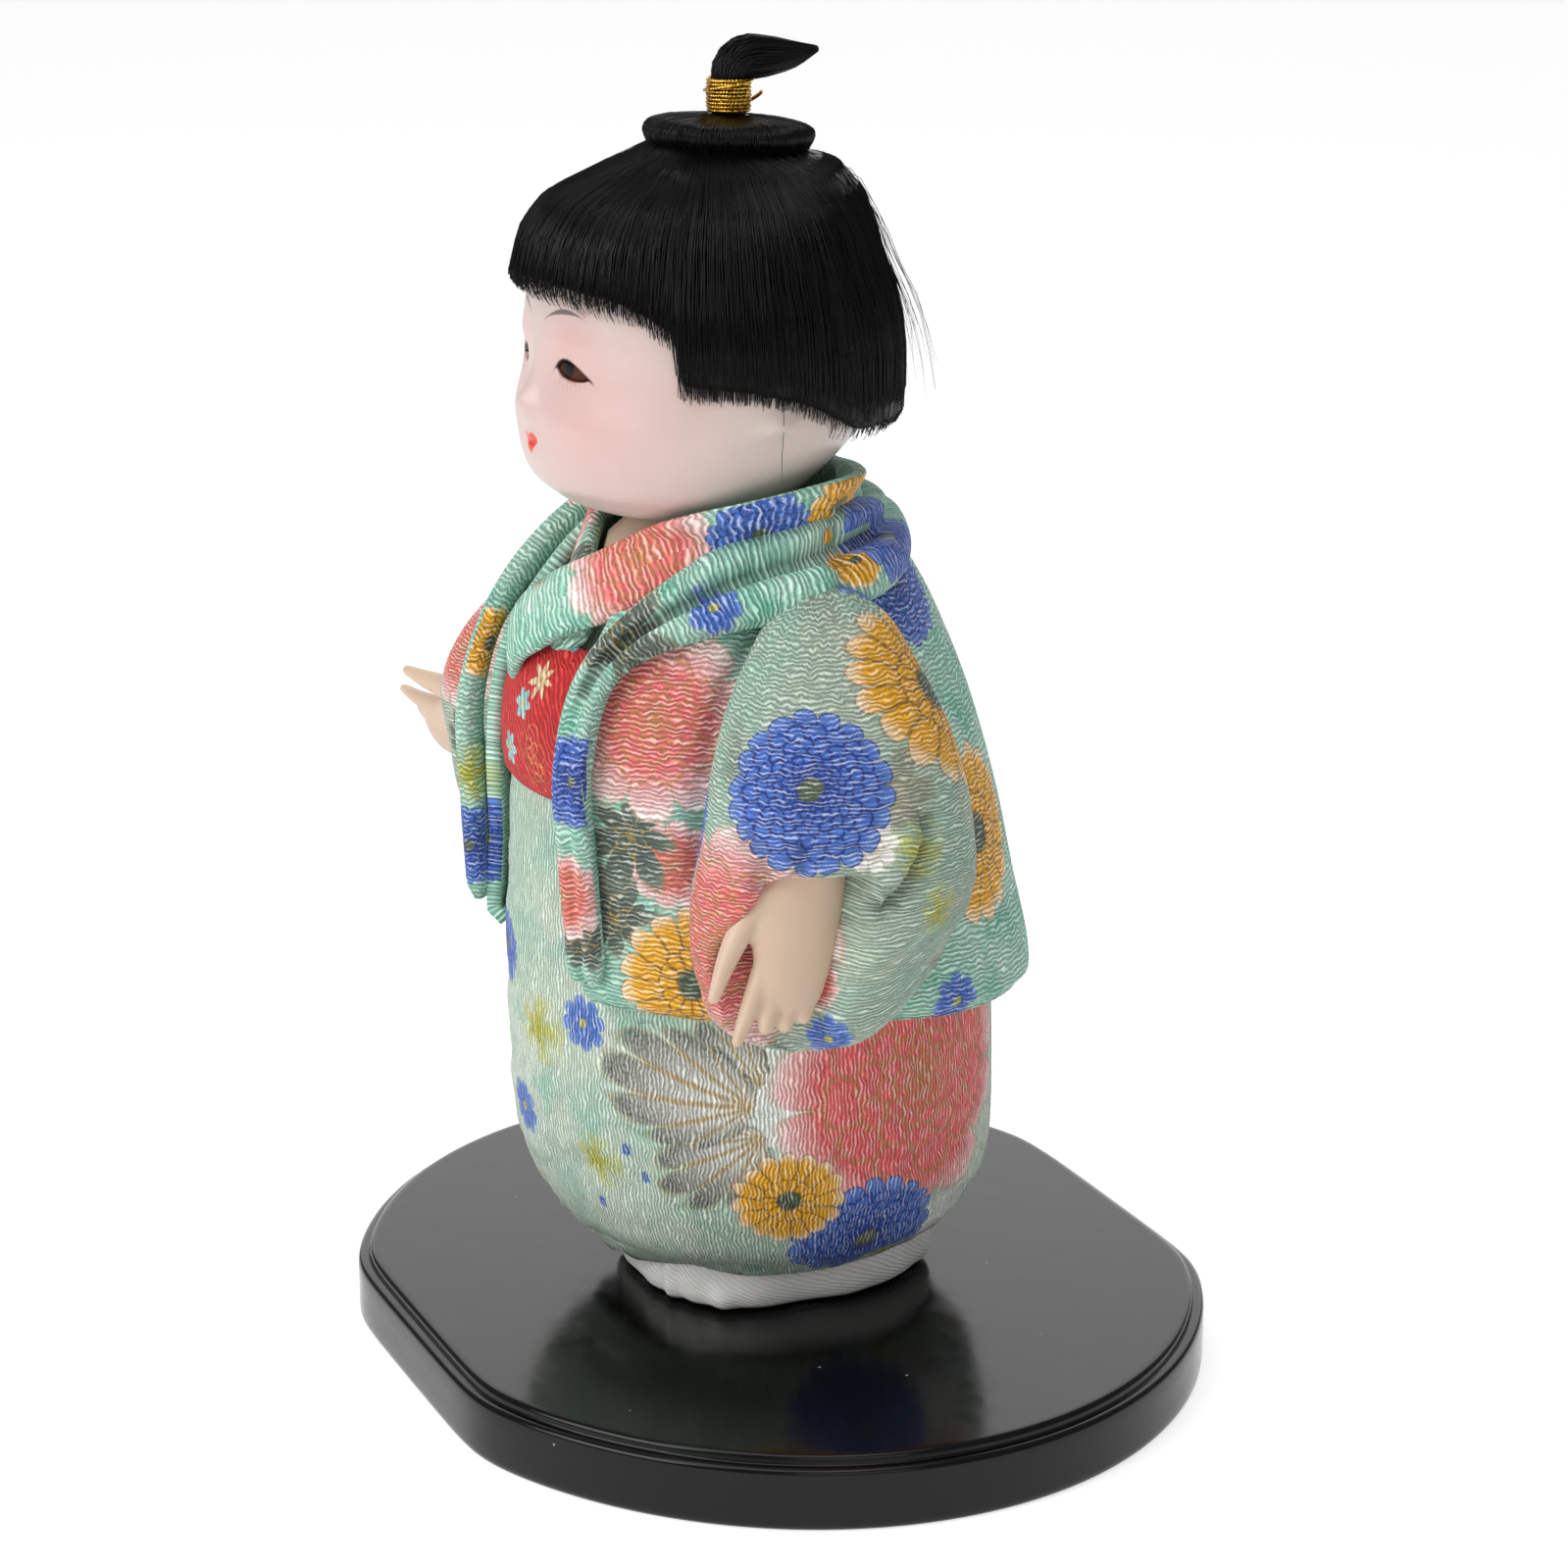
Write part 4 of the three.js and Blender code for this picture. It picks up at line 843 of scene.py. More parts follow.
def strip_place(run, width, thickness, groove, share, turn, rise=8):
    """A point of a roll, at a share of its run and an angle round its section."""
    place = run(share)
    along = (run(min(share + 0.01, 1)) - run(max(share - 0.01, 0))).normalized()
    out = Vector((place.x, place.y - NECK_Y, rise))
    out = (out - along * out.dot(along)).normalized()
    across = along.cross(out)
    c, s = math.cos(turn), math.sin(turn)
    thick = thickness / 2 * full(c, 0.8)
    wide = width / 2 * full(s, 0.8)
    if c > 0:
        thick -= groove * math.exp(-((s - 0.05) / 0.17) ** 2)
    end = min(ease(-0.004, 0.012, share), ease(-0.004, 0.012, 1 - share))
    point = place + out * thick * (0.4 + 0.6 * end) + across * wide * (0.7 + 0.3 * end)
    return clear_of_head(*point, 0.9 + 1.8 * max(c, 0) ** 0.5)


nape = [(0, 10.6, 134.4), (13.6, 7.2, 135.2)]
collar_left = nape + [(26, -7, 136.2), (23.5, -21, 133.2), (13.5, -33.5, 125.6),
                      (1, -40.5, 118.6), (-7, -42.2, 113), (-11, -40.5, 108)]
collar_right = nape + [(25.5, -6, 136.2), (21, -18.5, 132.8), (11, -28.5, 125.8),
                       (2, -34.5, 119.5), (-6, -38.5, 113)]
band_half = [(0, 16.8, 131.3), (15, 12.3, 131), (29, -4, 129.6), (28, -22, 125.8),
             (22.4, -40.6, 113), (23, -45, 99), (23.5, -44.6, 84), (24, -43.4, 64)]
collar_run = run_of(mirrored(collar_right)[:0:-1] + collar_left)
band_run = run_of(mirrored(band_half)[:0:-1] + band_half)


def collar_place(u, v):
    return strip_place(collar_run, 11.5, 3.6, 0.0, v, FULL_TURN * u)


def band_place(u, v):
    off = abs(v - 0.5)
    shoulder = 1 - ease(0.15, 0.31, off)
    width = 6.4 + 11.0 * shoulder * (0.15 + 0.85 * ease(0.03, 0.13, off))
    thickness, groove = 2.2 + 0.3 * width, 0.2 * width
    return strip_place(band_run, width, thickness, groove, v, FULL_TURN * u, 8 + 20 * shoulder)


LAPEL = 0.03 / FULL_TURN  # where the lapel's fold runs, as a share round the band
collar = skin("kimono_collar_cloth", 40, 150, collar_place, 27, 150)
band = skin("haori_band_cloth", 72, 220, band_place, 30, 265)
wadded(band, 0.4, 0.8)
for start, end in ((0.6, 0.82), (0.4, 0.18)):
    lapel = [band_place(LAPEL, v) for v in np.linspace(start, end, 14)]
    crease(band, [(x, y, h + BOARD_TOP) for x, y, h in lapel], 1.0, 1.1)
crease(band, [(22, -2, 149), (28, -3, 146), (33, -4, 141), (37, -5, 136)], 1.8, 1.5)

# %% [markdown]
# Collar and band are cut from the coat's cloth, so they carry the same blooms. All are listed,
# since both are too narrow for a scatter: those in front as they show, the rest as a guess.

# %% Print of collar and band
collar_motifs = [
    ("blue", 28.0, -15.0, 147.5, 8.5, 0), ("pink", 17.0, -31.0, 141.5, 15.0, 0),
    ("yellow", 27.5, -1.0, 148.5, 8.5, 0), ("small", 26.0, 3.0, 149.0, 3.0, 0),
    ("pink", -17.0, -31.0, 141.0, 9.0, 0), ("leaf", -10.0, -36.0, 135.0, 8.0, 0),
]
band_motifs = [
    ("blue", 24.6, -46.2, 109.8, 7.5, 0), ("leaf", 22.5, -37.8, 130.0, 8.0, 60),
    ("small", 31.0, -24.0, 136.5, 4.6, 0), ("pink", 23.0, -47.0, 90.0, 7.5, 0),
    ("leaf", 25.7, -44.5, 82.0, 6.0, 90), ("yellow", -19.0, -42.0, 120.0, 6.5, 0),
    ("lime", -21.0, -46.5, 98.0, 5.0, 0), ("blue", -21.5, -46.5, 86.0, 7.0, 0),
    ("blue", 25.0, 8.0, 143.0, 10.0, 0), ("yellow", 32.0, -0.5, 141.0, 5.0, 0),
    ("pink", -27.0, -20.0, 139.0, 9.0, 0), ("yellow", -22.0, 10.0, 144.0, 9.0, 0),
]
print_cloth(collar, collar_motifs)
dressed(collar, "stand", "green_crepe", coat_cloth, "kimono_collar")
print_cloth(band, band_motifs)
dressed(band, "stand", "green_crepe", coat_cloth, "haori_band")

# %% [markdown]
# A sleeve is a wadded bag. It is sewn to the coat at the shoulder, rests against the coat's side
# and hangs below the wrist. The left hand hangs in a groove between the bag's front and rear
# lobes, and the right hand comes straight out of a dimple. Small rules press both into the oval.

# %% Form of the sleeves
# height, middle outwards, middle in depth, half thickness, half width
SLEEVES = {
    "left": [
        [60, 53.5, -17, 5.5, 8], [63.5, 53.5, -16.5, 10.5, 15.5], [71, 53, -15.5, 13.5, 20.5],
        [82, 52.5, -14.3, 15.3, 22.6], [93, 51, -12.8, 15.7, 21.4], [102, 48.5, -11.8, 15.3, 19.6],
        [110, 44.6, -10.6, 13.6, 16.8], [117, 40, -9, 10.8, 13], [122.8, 36, -7.4, 7.2, 8.8],
        [126, 34, -6.8, 3.5, 4.5],
    ],
    "right": [
        [60, 48.5, -20, 5.5, 8], [63.5, 48.5, -20, 10, 13], [71, 49.5, -19.5, 12.5, 17],
        [82, 51, -18.5, 14.5, 20], [93, 52, -17, 15.5, 21.8], [102, 49.5, -15, 15.1, 20.4],
        [110, 45.4, -12.8, 13.5, 17], [117, 40.4, -10.4, 10.8, 13], [122.8, 36, -8.4, 7.2, 8.8],
        [126, 34, -7.6, 3.5, 4.5],
    ],
}
SLEEVE_FOOT, SLEEVE_TOP = 60, 126.0
SLEEVE_STEPS = 84
RIGHT_WRIST = Vector((-55, -28.5, 83))
RIGHT_POINTING = Vector((-0.95, -0.22, -0.15)).normalized()


def hand_groove(x, y, h):
    """The left sleeve's x, pressed in where the hand hangs."""
    hand_y = -21.8 - 0.313 * (90 - h)
    room = 6.9 + 0.06 * (90 - h) if y > hand_y else 6.9 + 0.42 * min(max(88 - h, 0), 14)
    near = math.exp(-(abs(y - hand_y) / room) ** 6) * (1 - ease(88.6, 91.2, h))
    bottom = 58 + 0.208 * (90 - h) - 5.6
    return x + (min(x, bottom) - x) * near


def wrist_dimple(x, y, h):
    """The right sleeve's x, pressed in where the hand comes out."""
    spot = Vector((-x, y, h)) - RIGHT_WRIST
    ahead = spot.dot(RIGHT_POINTING)
    off = (spot - RIGHT_POINTING * ahead).length
    return x - 6.0 * math.exp(-(off / 8.5) ** 4) if ahead > 0 else x


def sleeve_place(side, form, u, v):
    h = SLEEVE_FOOT + (SLEEVE_TOP + 0.7 - SLEEVE_FOOT) * round(v * SLEEVE_STEPS) / SLEEVE_STEPS
    out, middle, thick, wide = form(min(h, SLEEVE_TOP))
    close = 0.3 if h > SLEEVE_TOP else 0.4 if h < SLEEVE_FOOT + 0.5 else 1
    turn = FULL_TURN * u + math.pi
    c, s = math.cos(turn), math.sin(turn)
    x = out + thick * close * full(c, 0.91)
    y = middle + wide * close * full(s, 0.91)
    if side == "right":
        x = wrist_dimple(x, y, h)
    elif c > -0.2:
        x = hand_groove(x, y, h)
    half, front, back = coat_form(h)
    coat_y, depth = (front + back) / 2, (back - front) / 2
    f = min(math.hypot(x / (half + 0.5), (y - coat_y) / (depth + 0.5)), 1)
    x, y = x / f, coat_y + (y - coat_y) / f
    if side == "right":
        return -x, y, h
    return x, y, h + 8 * ease(-16, 4, y) * (1 - ease(62, 92, h))


print("sleeves from", SLEEVE_FOOT, "to", SLEEVE_TOP, "mm above the board")

# %% [markdown]
# A sleeve crosses the shoulder joint, so its top follows the coat and the rest follows the arm,
# blended between. Creases and raised rolls show where the bent arm gathers the left sleeve.

# %% Sleeves
SHOULDER_SEAM = {"left": (0.027, -0.010, 0.140), "right": (-0.027, -0.010, 0.140)}
SLEEVE_FREE = {"left": (0.047, -0.012, 0.116), "right": (-0.047, -0.012, 0.116)}
SEEDS = {"left": 31, "right": 37}
# each a line, its depth and its width
sleeve_creases = {"right": [], "left": [
    ([(67.5, -15.6, 95.7), (67.4, -12.3, 98.2), (66.8, -8.8, 101.4), (65.9, -5.9, 105.4),
      (64.4, -4.4, 109.4)], 2.6, 1.3),
    ([(68, -18, 97.5), (68, -14.5, 99.5), (67.5, -10.5, 103), (66, -8, 107.5)], -1.9, 2.2),
    ([(66.8, -14, 90), (66.5, -8, 94), (65, -3, 99)], -1.6, 2.4),
    ([(64.7, -26, 102), (64.4, -25.5, 105.3), (64.1, -24.9, 107)], 0.9, 1.2),
    ([(57, -33.3, 108.8), (60.4, -31.6, 106.8), (61.7, -30.6, 104.4), (61.7, -31.8, 101.5)],
     1.4, 1.8),
    ([(42, -29, 131), (46, -29, 124), (50, -31, 117)], 0.6, 2.5),
]}
sleeve_motifs = {
    "left": [
        ("blue", 62.2, -22.4, 116.4, 13.2, 0), ("pink", 61.0, -18.5, 84.0, 4.2, 0),
        ("yellow", 50.0, 5.0, 126.0, 16.0, 60), ("pale", 66.0, -14.6, 107.0, 4.6, 0),
        ("sage", 64.3, -10.0, 112.5, 6.5, 60), ("lime", 66.5, -7.0, 104.0, 5.0, 70),
        ("pink", 60.0, -35.5, 90.0, 19.0, 40), ("small", 63.5, -20.5, 76.5, 4.0, 0),
        ("lime", 65.0, -5.0, 96.0, 4.0, 30),
    ],
    "right": [("pink", -50.3, -37.4, 112.8, 11.0, 0), ("leaf", -48.0, -37.0, 96.0, 6.0, 0)],
}
for side, rows in SLEEVES.items():
    place = functools.partial(sleeve_place, side, outline(rows))
    sleeve = skin(f"{side}_sleeve_cloth", 110, SLEEVE_STEPS, place, 125, 95)
    wadded(sleeve)
    for line, depth, width in sleeve_creases[side]:
        crease(sleeve, line, depth, width)
    print_cloth(sleeve, scattered(sleeve, sleeve_motifs[side], SEEDS[side]))
    sleeve.data.materials.append(sleeve_cloth)
    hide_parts(f"{side}_sleeve")
    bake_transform(sleeve, "stand", f"{side}_arm", SHOULDER_SEAM[side], SLEEVE_FREE[side])

# %% [markdown]
# The obi is a stiff band of brocade round the waist: red silk with woven leaves in gold, beige
# and pale blue, and a diagonal twill that catches the light. The crepe's recipe makes it too,
# with slanting ridges, painted shade in their valleys and hardly any painted highlight on their
# tops.

# %% Brocade obi
# silk brocade: deep even red, with the fine slanting lines of a twill, drawn as bumps and painted shade
brocade = crepe("silk_brocade", ("#cb0a10", "#c0080d", "#d41016"), 0.9, (0.7, 0.7, 0), 0.06)
# height and distance from the robe, once round the band's section
OBI_PROFILE = [
    (91, 0.3), (90.2, 0.6), (90, 1.4), (90.6, 1.9), (93, 2.5), (97, 3.0), (102, 3.1), (107, 3.0),
    (111, 2.5), (113.4, 1.9), (114, 1.4), (113.8, 0.6), (113, 0.3), (107, 0.2), (100, 0.2),
    (95, 0.2), (91, 0.3),
]


def obi_place(u, v):
    h, thick = along_profile(OBI_PROFILE, v)
    return *oval_point(robe_form(h), from_back(u), thick + 0.4), h


obi = skin("obi_brocade", 170, 64, obi_place, 215, 52)
obi_motifs = [
    ("maple", 5.0, -42.6, 120.8, 3.6, 200), ("frost", 1.0, -45.4, 116.0, 2.8, 0),
    ("curl", 5.0, -46.0, 109.0, 4.0, 80), ("curl", 8.5, -45.5, 106.0, 3.5, 200),
    ("frost", -4.0, -45.5, 107.0, 3.0, 0),
]
print_cloth(obi, scattered(obi, obi_motifs, 3, 400, "maple frost curl"))
dressed(obi, "stand", "red_brocade", brocade, "obi")

# %% [markdown]
# The sole is a wooden block under white satin. The satin is pulled over the block, so a few
# pleats run in from the edge. Its twill is drawn 0.8 mm apart, coarser than life, so that it
# shows as diagonal lines.

# %% Satin sole
ONE_WAVE = 0.314  # the wave texture's scale that gives one line a millimetre
# polyester satin: bright and smooth, with a silky sheen across its twill
satin, n, into = new_material("white_satin", Roughness=0.38, Sheen_Weight=0.3)
weave = n("UVMap", uv_map="weave")
twill = n("TexWave", weave, out=1, bands_direction="DIAGONAL",
          Scale=ONE_WAVE / 0.8, Distortion=0.8, Detail=1.0)
cloudy = n("TexNoise", weave, Scale=0.2, Detail=2.0)
# painted shade and highlight: the colour is lighter on the twill's ridges and darker between them
colour = n("Mix:RGBA", n("Math:MULTIPLY", twill, 0.8), "#e6e4df", "#fbfaf7")
colour = n("Mix:RGBA", n("MapRange", cloudy, 0.45, 0.8, 0.0, 0.5), colour, "#dcdad4")
into(Base_Color=colour, Normal=n("Bump", Strength=0.5, Distance=0.0002, Height=twill))
# height and inset, from under the block to inside the robe
SOLE_PROFILE = [(0.9, 20), (0.3, 8), (0.3, 3), (0.5, 1.5), (1.3, 0.5), (2.6, 0.05), (4, 0),
                (6, 0.1), (8, 0.3), (10, 0.6), (10, 1.1), (8, 1.2), (5, 1.2)]


def sole_place(u, v):
    h, inset = along_profile(SOLE_PROFILE, v)
    turn = FULL_TURN * u
    c, s = math.cos(turn), math.sin(turn)
    pleat = 0
    if inset <= 2:
        wander = 5 * noise.noise(Vector((c, s, 0)) * 2)
        pleat = 0.5 * math.sin(9 * turn + wander) * (1 - ease(6, 10, h))
        pleat += 1.7 * math.exp(-((turn - 5.62) / 0.1) ** 2) * (1 - ease(1.5, 7, h))
    grow = pleat - inset
    return (22.5 + grow) * full(c, 0.8), -0.5 + (26 + grow) * full(s, 0.8), h


sole = skin("sole_satin", 140, 36, sole_place, 150, 40)
dressed(sole, "stand", "white_satin", satin, "sole_cover")

# %% [markdown]
# The head is moulded and painted with gofun, a chalky white with a satin polish. The oval table
# gives its form, and small smooth hills added to it give nose, lips, cheeks and ears. That is
# easier to steer than sculpting, since every hill has a place and a size in millimetres.

# %% Head
EYE = Vector((9.9, -40.4, 158.6))  # middle of the left eye
EAR = Vector((0, -13.5, 151.6))


def hill(x, h, at_x, at_h, wide, tall):
    return math.exp(-((x - at_x) / wide) ** 2 - ((h - at_h) / tall) ** 2)


def face_depth(x, h):
    """How far the face stands out from the plain oval, in mm."""
    out = 2.3 * hill(x, h, 0, 152.7, 2.7, 2.6) + 0.9 * hill(x, h, 0, 157, 2.2, 4.5)  # nose
    out += 0.5 * hill(x, h, 0, 147.4, 2.3, 1.0) + 0.5 * hill(x, h, 0, 145.1, 1.8, 1.1)  # lips
    out -= 0.3 * hill(x, h, 0, 146.3, 2.2, 0.35)  # their parting
    out += 0.25 * hill(x, h, 0, 146, 14, 5.5) + 0.8 * hill(x, h, 0, 140.5, 14, 4.5)  # chin
    out -= 0.6 * ease(141, 147, h) + 1.4 * ease(149.5, 158.5, h)
    for sign in (1, -1):
        out += 0.45 * hill(x, h, sign * 2.2, 151.4, 1.2, 1.2)  # side of the nose
        out -= 0.4 * hill(x, h, sign * 8.0, 160.0, 4.0, 3.5)  # hollow of the eye
        out += 0.3 * hill(x, h, sign * 11, 162.4, 5.5, 1.5)  # lid
        out += 0.3 * hill(x, h, sign * 14, 147.5, 7.5, 7.0)  # cheek
    return out


def head_place(u, v):
    h = CHIN + (SCALP - CHIN) * (1 - math.cos(math.pi * v)) / 2
    turn = from_back(u)
    x, y = oval_point(head_form(h), turn)
    if math.sin(turn) < 0:
        y -= face_depth(x, h) * ease(0, 0.5, -math.sin(turn))
    return x + math.copysign(1.5 * hill(y, h, EAR.y, EAR.z, 3.2, 1.7), x), y, h


head = skin("painted_head", 220, 150, head_place)
print("nose tip stands out", round(face_depth(0, 152.7), 2), "mm")

# %% [markdown]
# Each eye is a brown glass ball behind an almond slit, as the real eyes were set from inside.
# A Boolean cuts the slit and a socket for the ball, so the lid has a real thickness.

# %% Eye slits
EYE_OUT = Vector((0.36, -0.93, 0.0))  # where the left eye's slit faces
EYE_HALF = (7.4, 4.2, 5.6)  # half width, depth and height of the glass
EYE_INSET = 0.45
SLIT_START, SLIT_WIDTH = 5.7, 8.4
UPPER_LID = outline([[0, 0.0], [0.12, 1.1], [0.35, 1.5], [0.6, 1.0], [0.85, -0.2], [1, -0.9]])
LOWER_LID = outline([[0, 0.0], [0.1, -0.8], [0.35, -1.5], [0.6, -1.6], [0.85, -1.3], [1, -0.9]])


def slit_place(sign, u, v):
    share = 2 * u if u < 0.5 else 2 - 2 * u
    rise = float((UPPER_LID if u < 0.5 else LOWER_LID)(share)[0])
    return sign * (SLIT_START + SLIT_WIDTH * share), -48 + 11 * v, EYE.z + rise


def eye_ball(name, sign, room=0.0):
    """The glass behind a slit: a flat ball that faces as the face does there."""
    out = Vector((sign * EYE_OUT.x, EYE_OUT.y, 0)).normalized()
    side = Vector((-out.y, out.x, 0))
    half_width, front, back = head_form(EYE.z)
    skin_y = (front + back) / 2 - (back - front) / 2 * math.sqrt(1 - (EYE.x / half_width) ** 2)
    skin_y -= face_depth(EYE.x, EYE.z)
    middle = Vector((sign * EYE.x, skin_y, EYE.z + BOARD_TOP)) - out * (EYE_HALF[1] + EYE_INSET)
    turn = Matrix((side, out, Vector((0, 0, 1)))).transposed().to_4x4()
    size = Matrix.Diagonal([(half + room) * MM for half in EYE_HALF] + [1])
    bm = bmesh.new()
    bmesh.ops.create_uvsphere(bm, u_segments=56, v_segments=36, radius=1.0,
                              matrix=Matrix.Translation(middle * MM) @ turn @ size)
    bmesh.ops.recalc_face_normals(bm, faces=bm.faces)
    return finished(name, bm)


tools = []
for sign in (1, -1):
    tools.append(skin("slit", 64, 1, functools.partial(slit_place, sign)))
    tools.append(eye_ball("socket", sign, 0.12))
for tool in tools:
    cutter = head.modifiers.new("cut", "BOOLEAN")
    cutter.object = tool
    cutter.operation = "DIFFERENCE"
    cutter.solver = "EXACT"
made_real(head)
for tool in tools:
    bpy.data.objects.remove(tool)
print("head after", len(tools), "cuts:", len(head.data.polygons), "faces")

# %% [markdown]
# The paint reads the head's own coordinates in millimetres, with left and right folded onto each
# other. Soft rose lies round the eyes and on the cheeks, as if brushed on dry. The lid line
# follows the slit's own table, written as a polynomial that nodes can work out.

# %% Face paint: rose and lids
# gofun, ground shell in glue: a warm white that glows a little, with a soft polish
paint, n, into = new_material("polished_gofun", Roughness=0.36, Subsurface_Weight=0.08,
                              Subsurface_Scale=0.002, Coat_Weight=0.12)
here = in_mm(n)
x_mm, y_mm, z_mm = [n("SeparateXYZ", here, out=i) for i in range(3)]
mirror_x = n("Math:ABSOLUTE", x_mm)
folded = n("CombineXYZ", mirror_x, y_mm, z_mm)
mottle = n("TexNoise", here, Scale=0.25, Detail=2.0)
colour = n("Mix:RGBA", mottle, "#c6b6ae", "#cdbeb7")
# place, size, sharpness, strength and colour of the cheek's and the lid's rose
for place, size, sharp, strength, rose in (
        ((15, -39, 163), (24, 30, 20), 1.0, 0.55, "#d39a99"),
        ((9, -41, 174.5), (9, 16, 7.5), 0.9, 0.45, "#cf918e")):
    apart = n("VectorMath:DIVIDE", n("VectorMath:SUBTRACT", folded, place), size)
    spot = n("Math:SUBTRACT", 1.0, n("VectorMath:LENGTH", apart), use_clamp=True)
    spot = n("Math:MULTIPLY", n("Math:POWER", spot, sharp), strength)
    colour = n("Mix:RGBA", spot, colour, rose)


def within(n, value, middle, outer, inner):
    """1 where a value is nearer than inner to a middle, 0 past outer."""
    return n("MapRange", n("Math:ABSOLUTE", n("Math:SUBTRACT", value, middle)), outer, inner)


along = n("Math:MULTIPLY", n("Math:SUBTRACT", mirror_x, SLIT_START), 1 / SLIT_WIDTH)
shares = np.linspace(0, 1, 21)
lid_lines = []
for lid in (UPPER_LID, LOWER_LID):
    terms = np.polyfit(shares, [lid(s)[0] for s in shares], 4)
    level = float(terms[0])
    for term in terms[1:]:
        level = n("Math:MULTIPLY_ADD", level, along, float(term))
    lid_lines.append(n("Math:ADD", level, EYE.z + BOARD_TOP))
lid_mask = within(n, z_mm, lid_lines[0], 0.36, 0.12)
lid_mask = n("Math:MULTIPLY", lid_mask, within(n, along, 0.52, 0.6, 0.48))
print("paint so far", len(paint.node_tree.nodes), "nodes")

# %% [markdown]
# Brows, lashes and mouth are lines of a fine brush: thin grey brows that taper, a few lashes
# under the eye, and a small vermilion mouth with a darker parting. Each is a distance to a curve
# turned into a mask, so its edge stays crisp at any size.

# %% Face paint: brows, lashes and mouth
front_side = n("Math:LESS_THAN", y_mm, -22.0)
lash = n("Math:SUBTRACT", lid_lines[1], z_mm)
lash_mask = n("Math:MULTIPLY", n("MapRange", lash, 1.5, 0.9), n("Math:GREATER_THAN", lash, 0.0))
comb = n("Math:SINE", n("Math:MULTIPLY", n("Math:MULTIPLY_ADD", lash, -0.35, mirror_x), 6.4))
lash_mask = n("Math:MULTIPLY", lash_mask, n("MapRange", comb, 0.9, 0.99))
lash_mask = n("Math:MULTIPLY", lash_mask, within(n, along, 0.55, 0.45, 0.35))
dark = n("Math:MAXIMUM", lid_mask, n("Math:MULTIPLY", lash_mask, 0.35))
dark = n("Math:MULTIPLY", n("Math:MULTIPLY", dark, front_side), 0.9)
colour = n("Mix:RGBA", dark, colour, "#2a1a17")
brow_x = n("Math:SUBTRACT", mirror_x, 8.8)
brow_line = n("Math:MULTIPLY_ADD", n("Math:MULTIPLY", brow_x, brow_x), -0.05, 179.6)
off_brow = n("Math:ABSOLUTE", n("Math:SUBTRACT", z_mm, brow_line))
taper = n("Math:MULTIPLY", within(n, mirror_x, 7.6, 6.2, 1.0), 0.52)
brow = n("MapRange", n("Math:SUBTRACT", taper, off_brow), 0.0, 0.25)
brow = n("Math:MULTIPLY", n("Math:MULTIPLY", brow, 0.9), front_side)
colour = n("Mix:RGBA", brow, colour, "#5b5350")
bow = n("Math:MULTIPLY_ADD", n("Math:SINE", n("Math:MULTIPLY", mirror_x, 1.3)), 0.5, 159.3)
lips = n("MapRange", n("Math:SUBTRACT", bow, z_mm), 0.0, 0.3)
slope = n("Math:MULTIPLY_ADD", n("Math:SUBTRACT", z_mm, 156.2), 0.95, 0.4)
slope = n("MapRange", n("Math:SUBTRACT", slope, mirror_x), 0.0, 0.35)
for limit in (slope, n("MapRange", mirror_x, 2.5, 2.2), front_side,
              n("Math:GREATER_THAN", z_mm, 155.9)):
    lips = n("Math:MULTIPLY", lips, limit)
parting = n("Math:MULTIPLY", within(n, z_mm, 158.3, 0.3, 0.1), 0.35)
colour = n("Mix:RGBA", lips, colour, n("Mix:RGBA", parting, "#d92f14", "#a31f16"))
fine = n("TexNoise", here, Scale=1.6, Detail=3.0)
into(Base_Color=colour, Normal=n("Bump", Strength=0.06, Distance=0.0002, Height=fine))
dressed(head, "head", "painted_face", paint, "head_shell")

# %% [markdown]
# The eyes are blown glass with a brown iris and a black pupil behind it. From outside that is a
# dark, shiny ball, so one shader with rings of colour is enough and no real layers are needed.

# %% Glass eyes
PUPIL = (8.3, 0, 170.9)  # folded place of its middle, seen from the front
# brown glass: nearly black, wet looking, with a small clear glint
glass, n, into = new_material("brown_glass", Roughness=0.1, IOR=1.5, Specular_IOR_Level=0.14)
here = in_mm(n)
folded = n("CombineXYZ", n("Math:ABSOLUTE", n("SeparateXYZ", here)), 0.0,
           n("SeparateXYZ", here, out=2))
from_pupil = n("VectorMath:LENGTH", n("VectorMath:SUBTRACT", folded, PUPIL))
streak = n("TexNoise", here, Scale=3.0, Detail=3.0)
iris = n("Mix:RGBA", streak, "#351710", "#5e2f1b")
colour = n("Mix:RGBA", n("MapRange", from_pupil, 1.7, 1.3), iris, "#080506")
into(Base_Color=n("Mix:RGBA", n("MapRange", from_pupil, 4.6, 5.4), colour, "#2a130c"))
for side, sign in (("left", 1), ("right", -1)):
    eye = eye_ball(f"{side}_glass_eye", sign)
    dressed(eye, "head", "brown_glass", glass, f"{side}_eye")

# %% [markdown]
# The hair is black nylon, rooted at the crown and combed straight down, then cut blunt: a fringe
# over the brows, a step at the temple and a level edge behind. A dark cap gives the body, and
# its combed lines show between the strands that come later.

# %% Hair cap
# nylon hair: blue black, with a streaky shine across the combing
hair, n, into = new_material("combed_nylon_hair", Roughness=0.32, IOR=1.5,
                             Specular_IOR_Level=0.2, Anisotropic=0.5)
tone = n("TexNoise", in_mm(n), Scale=0.9, Detail=3.0)
combed = n("VectorMath:MULTIPLY", n("UVMap", uv_map="weave"), (2.6, 0.04, 0))
combed = n("TexNoise", combed, Scale=1.0, Detail=3.0, Roughness=0.7)
into(Base_Color=n("Mix:RGBA", tone, "#020203", "#0a0909"),
     Normal=n("Bump", Strength=0.7, Distance=0.0004, Height=combed))
CROWN = 192.4
WIDEST = 157  # hair hangs straight below this level
CAP_TURN = 0.86  # the share of the cap's grid where it turns in under the edge
EDGE_Y = [-46, -36, -29.8, -29.0, -18, -8, 2, 14, 25]  # from the fringe to the nape
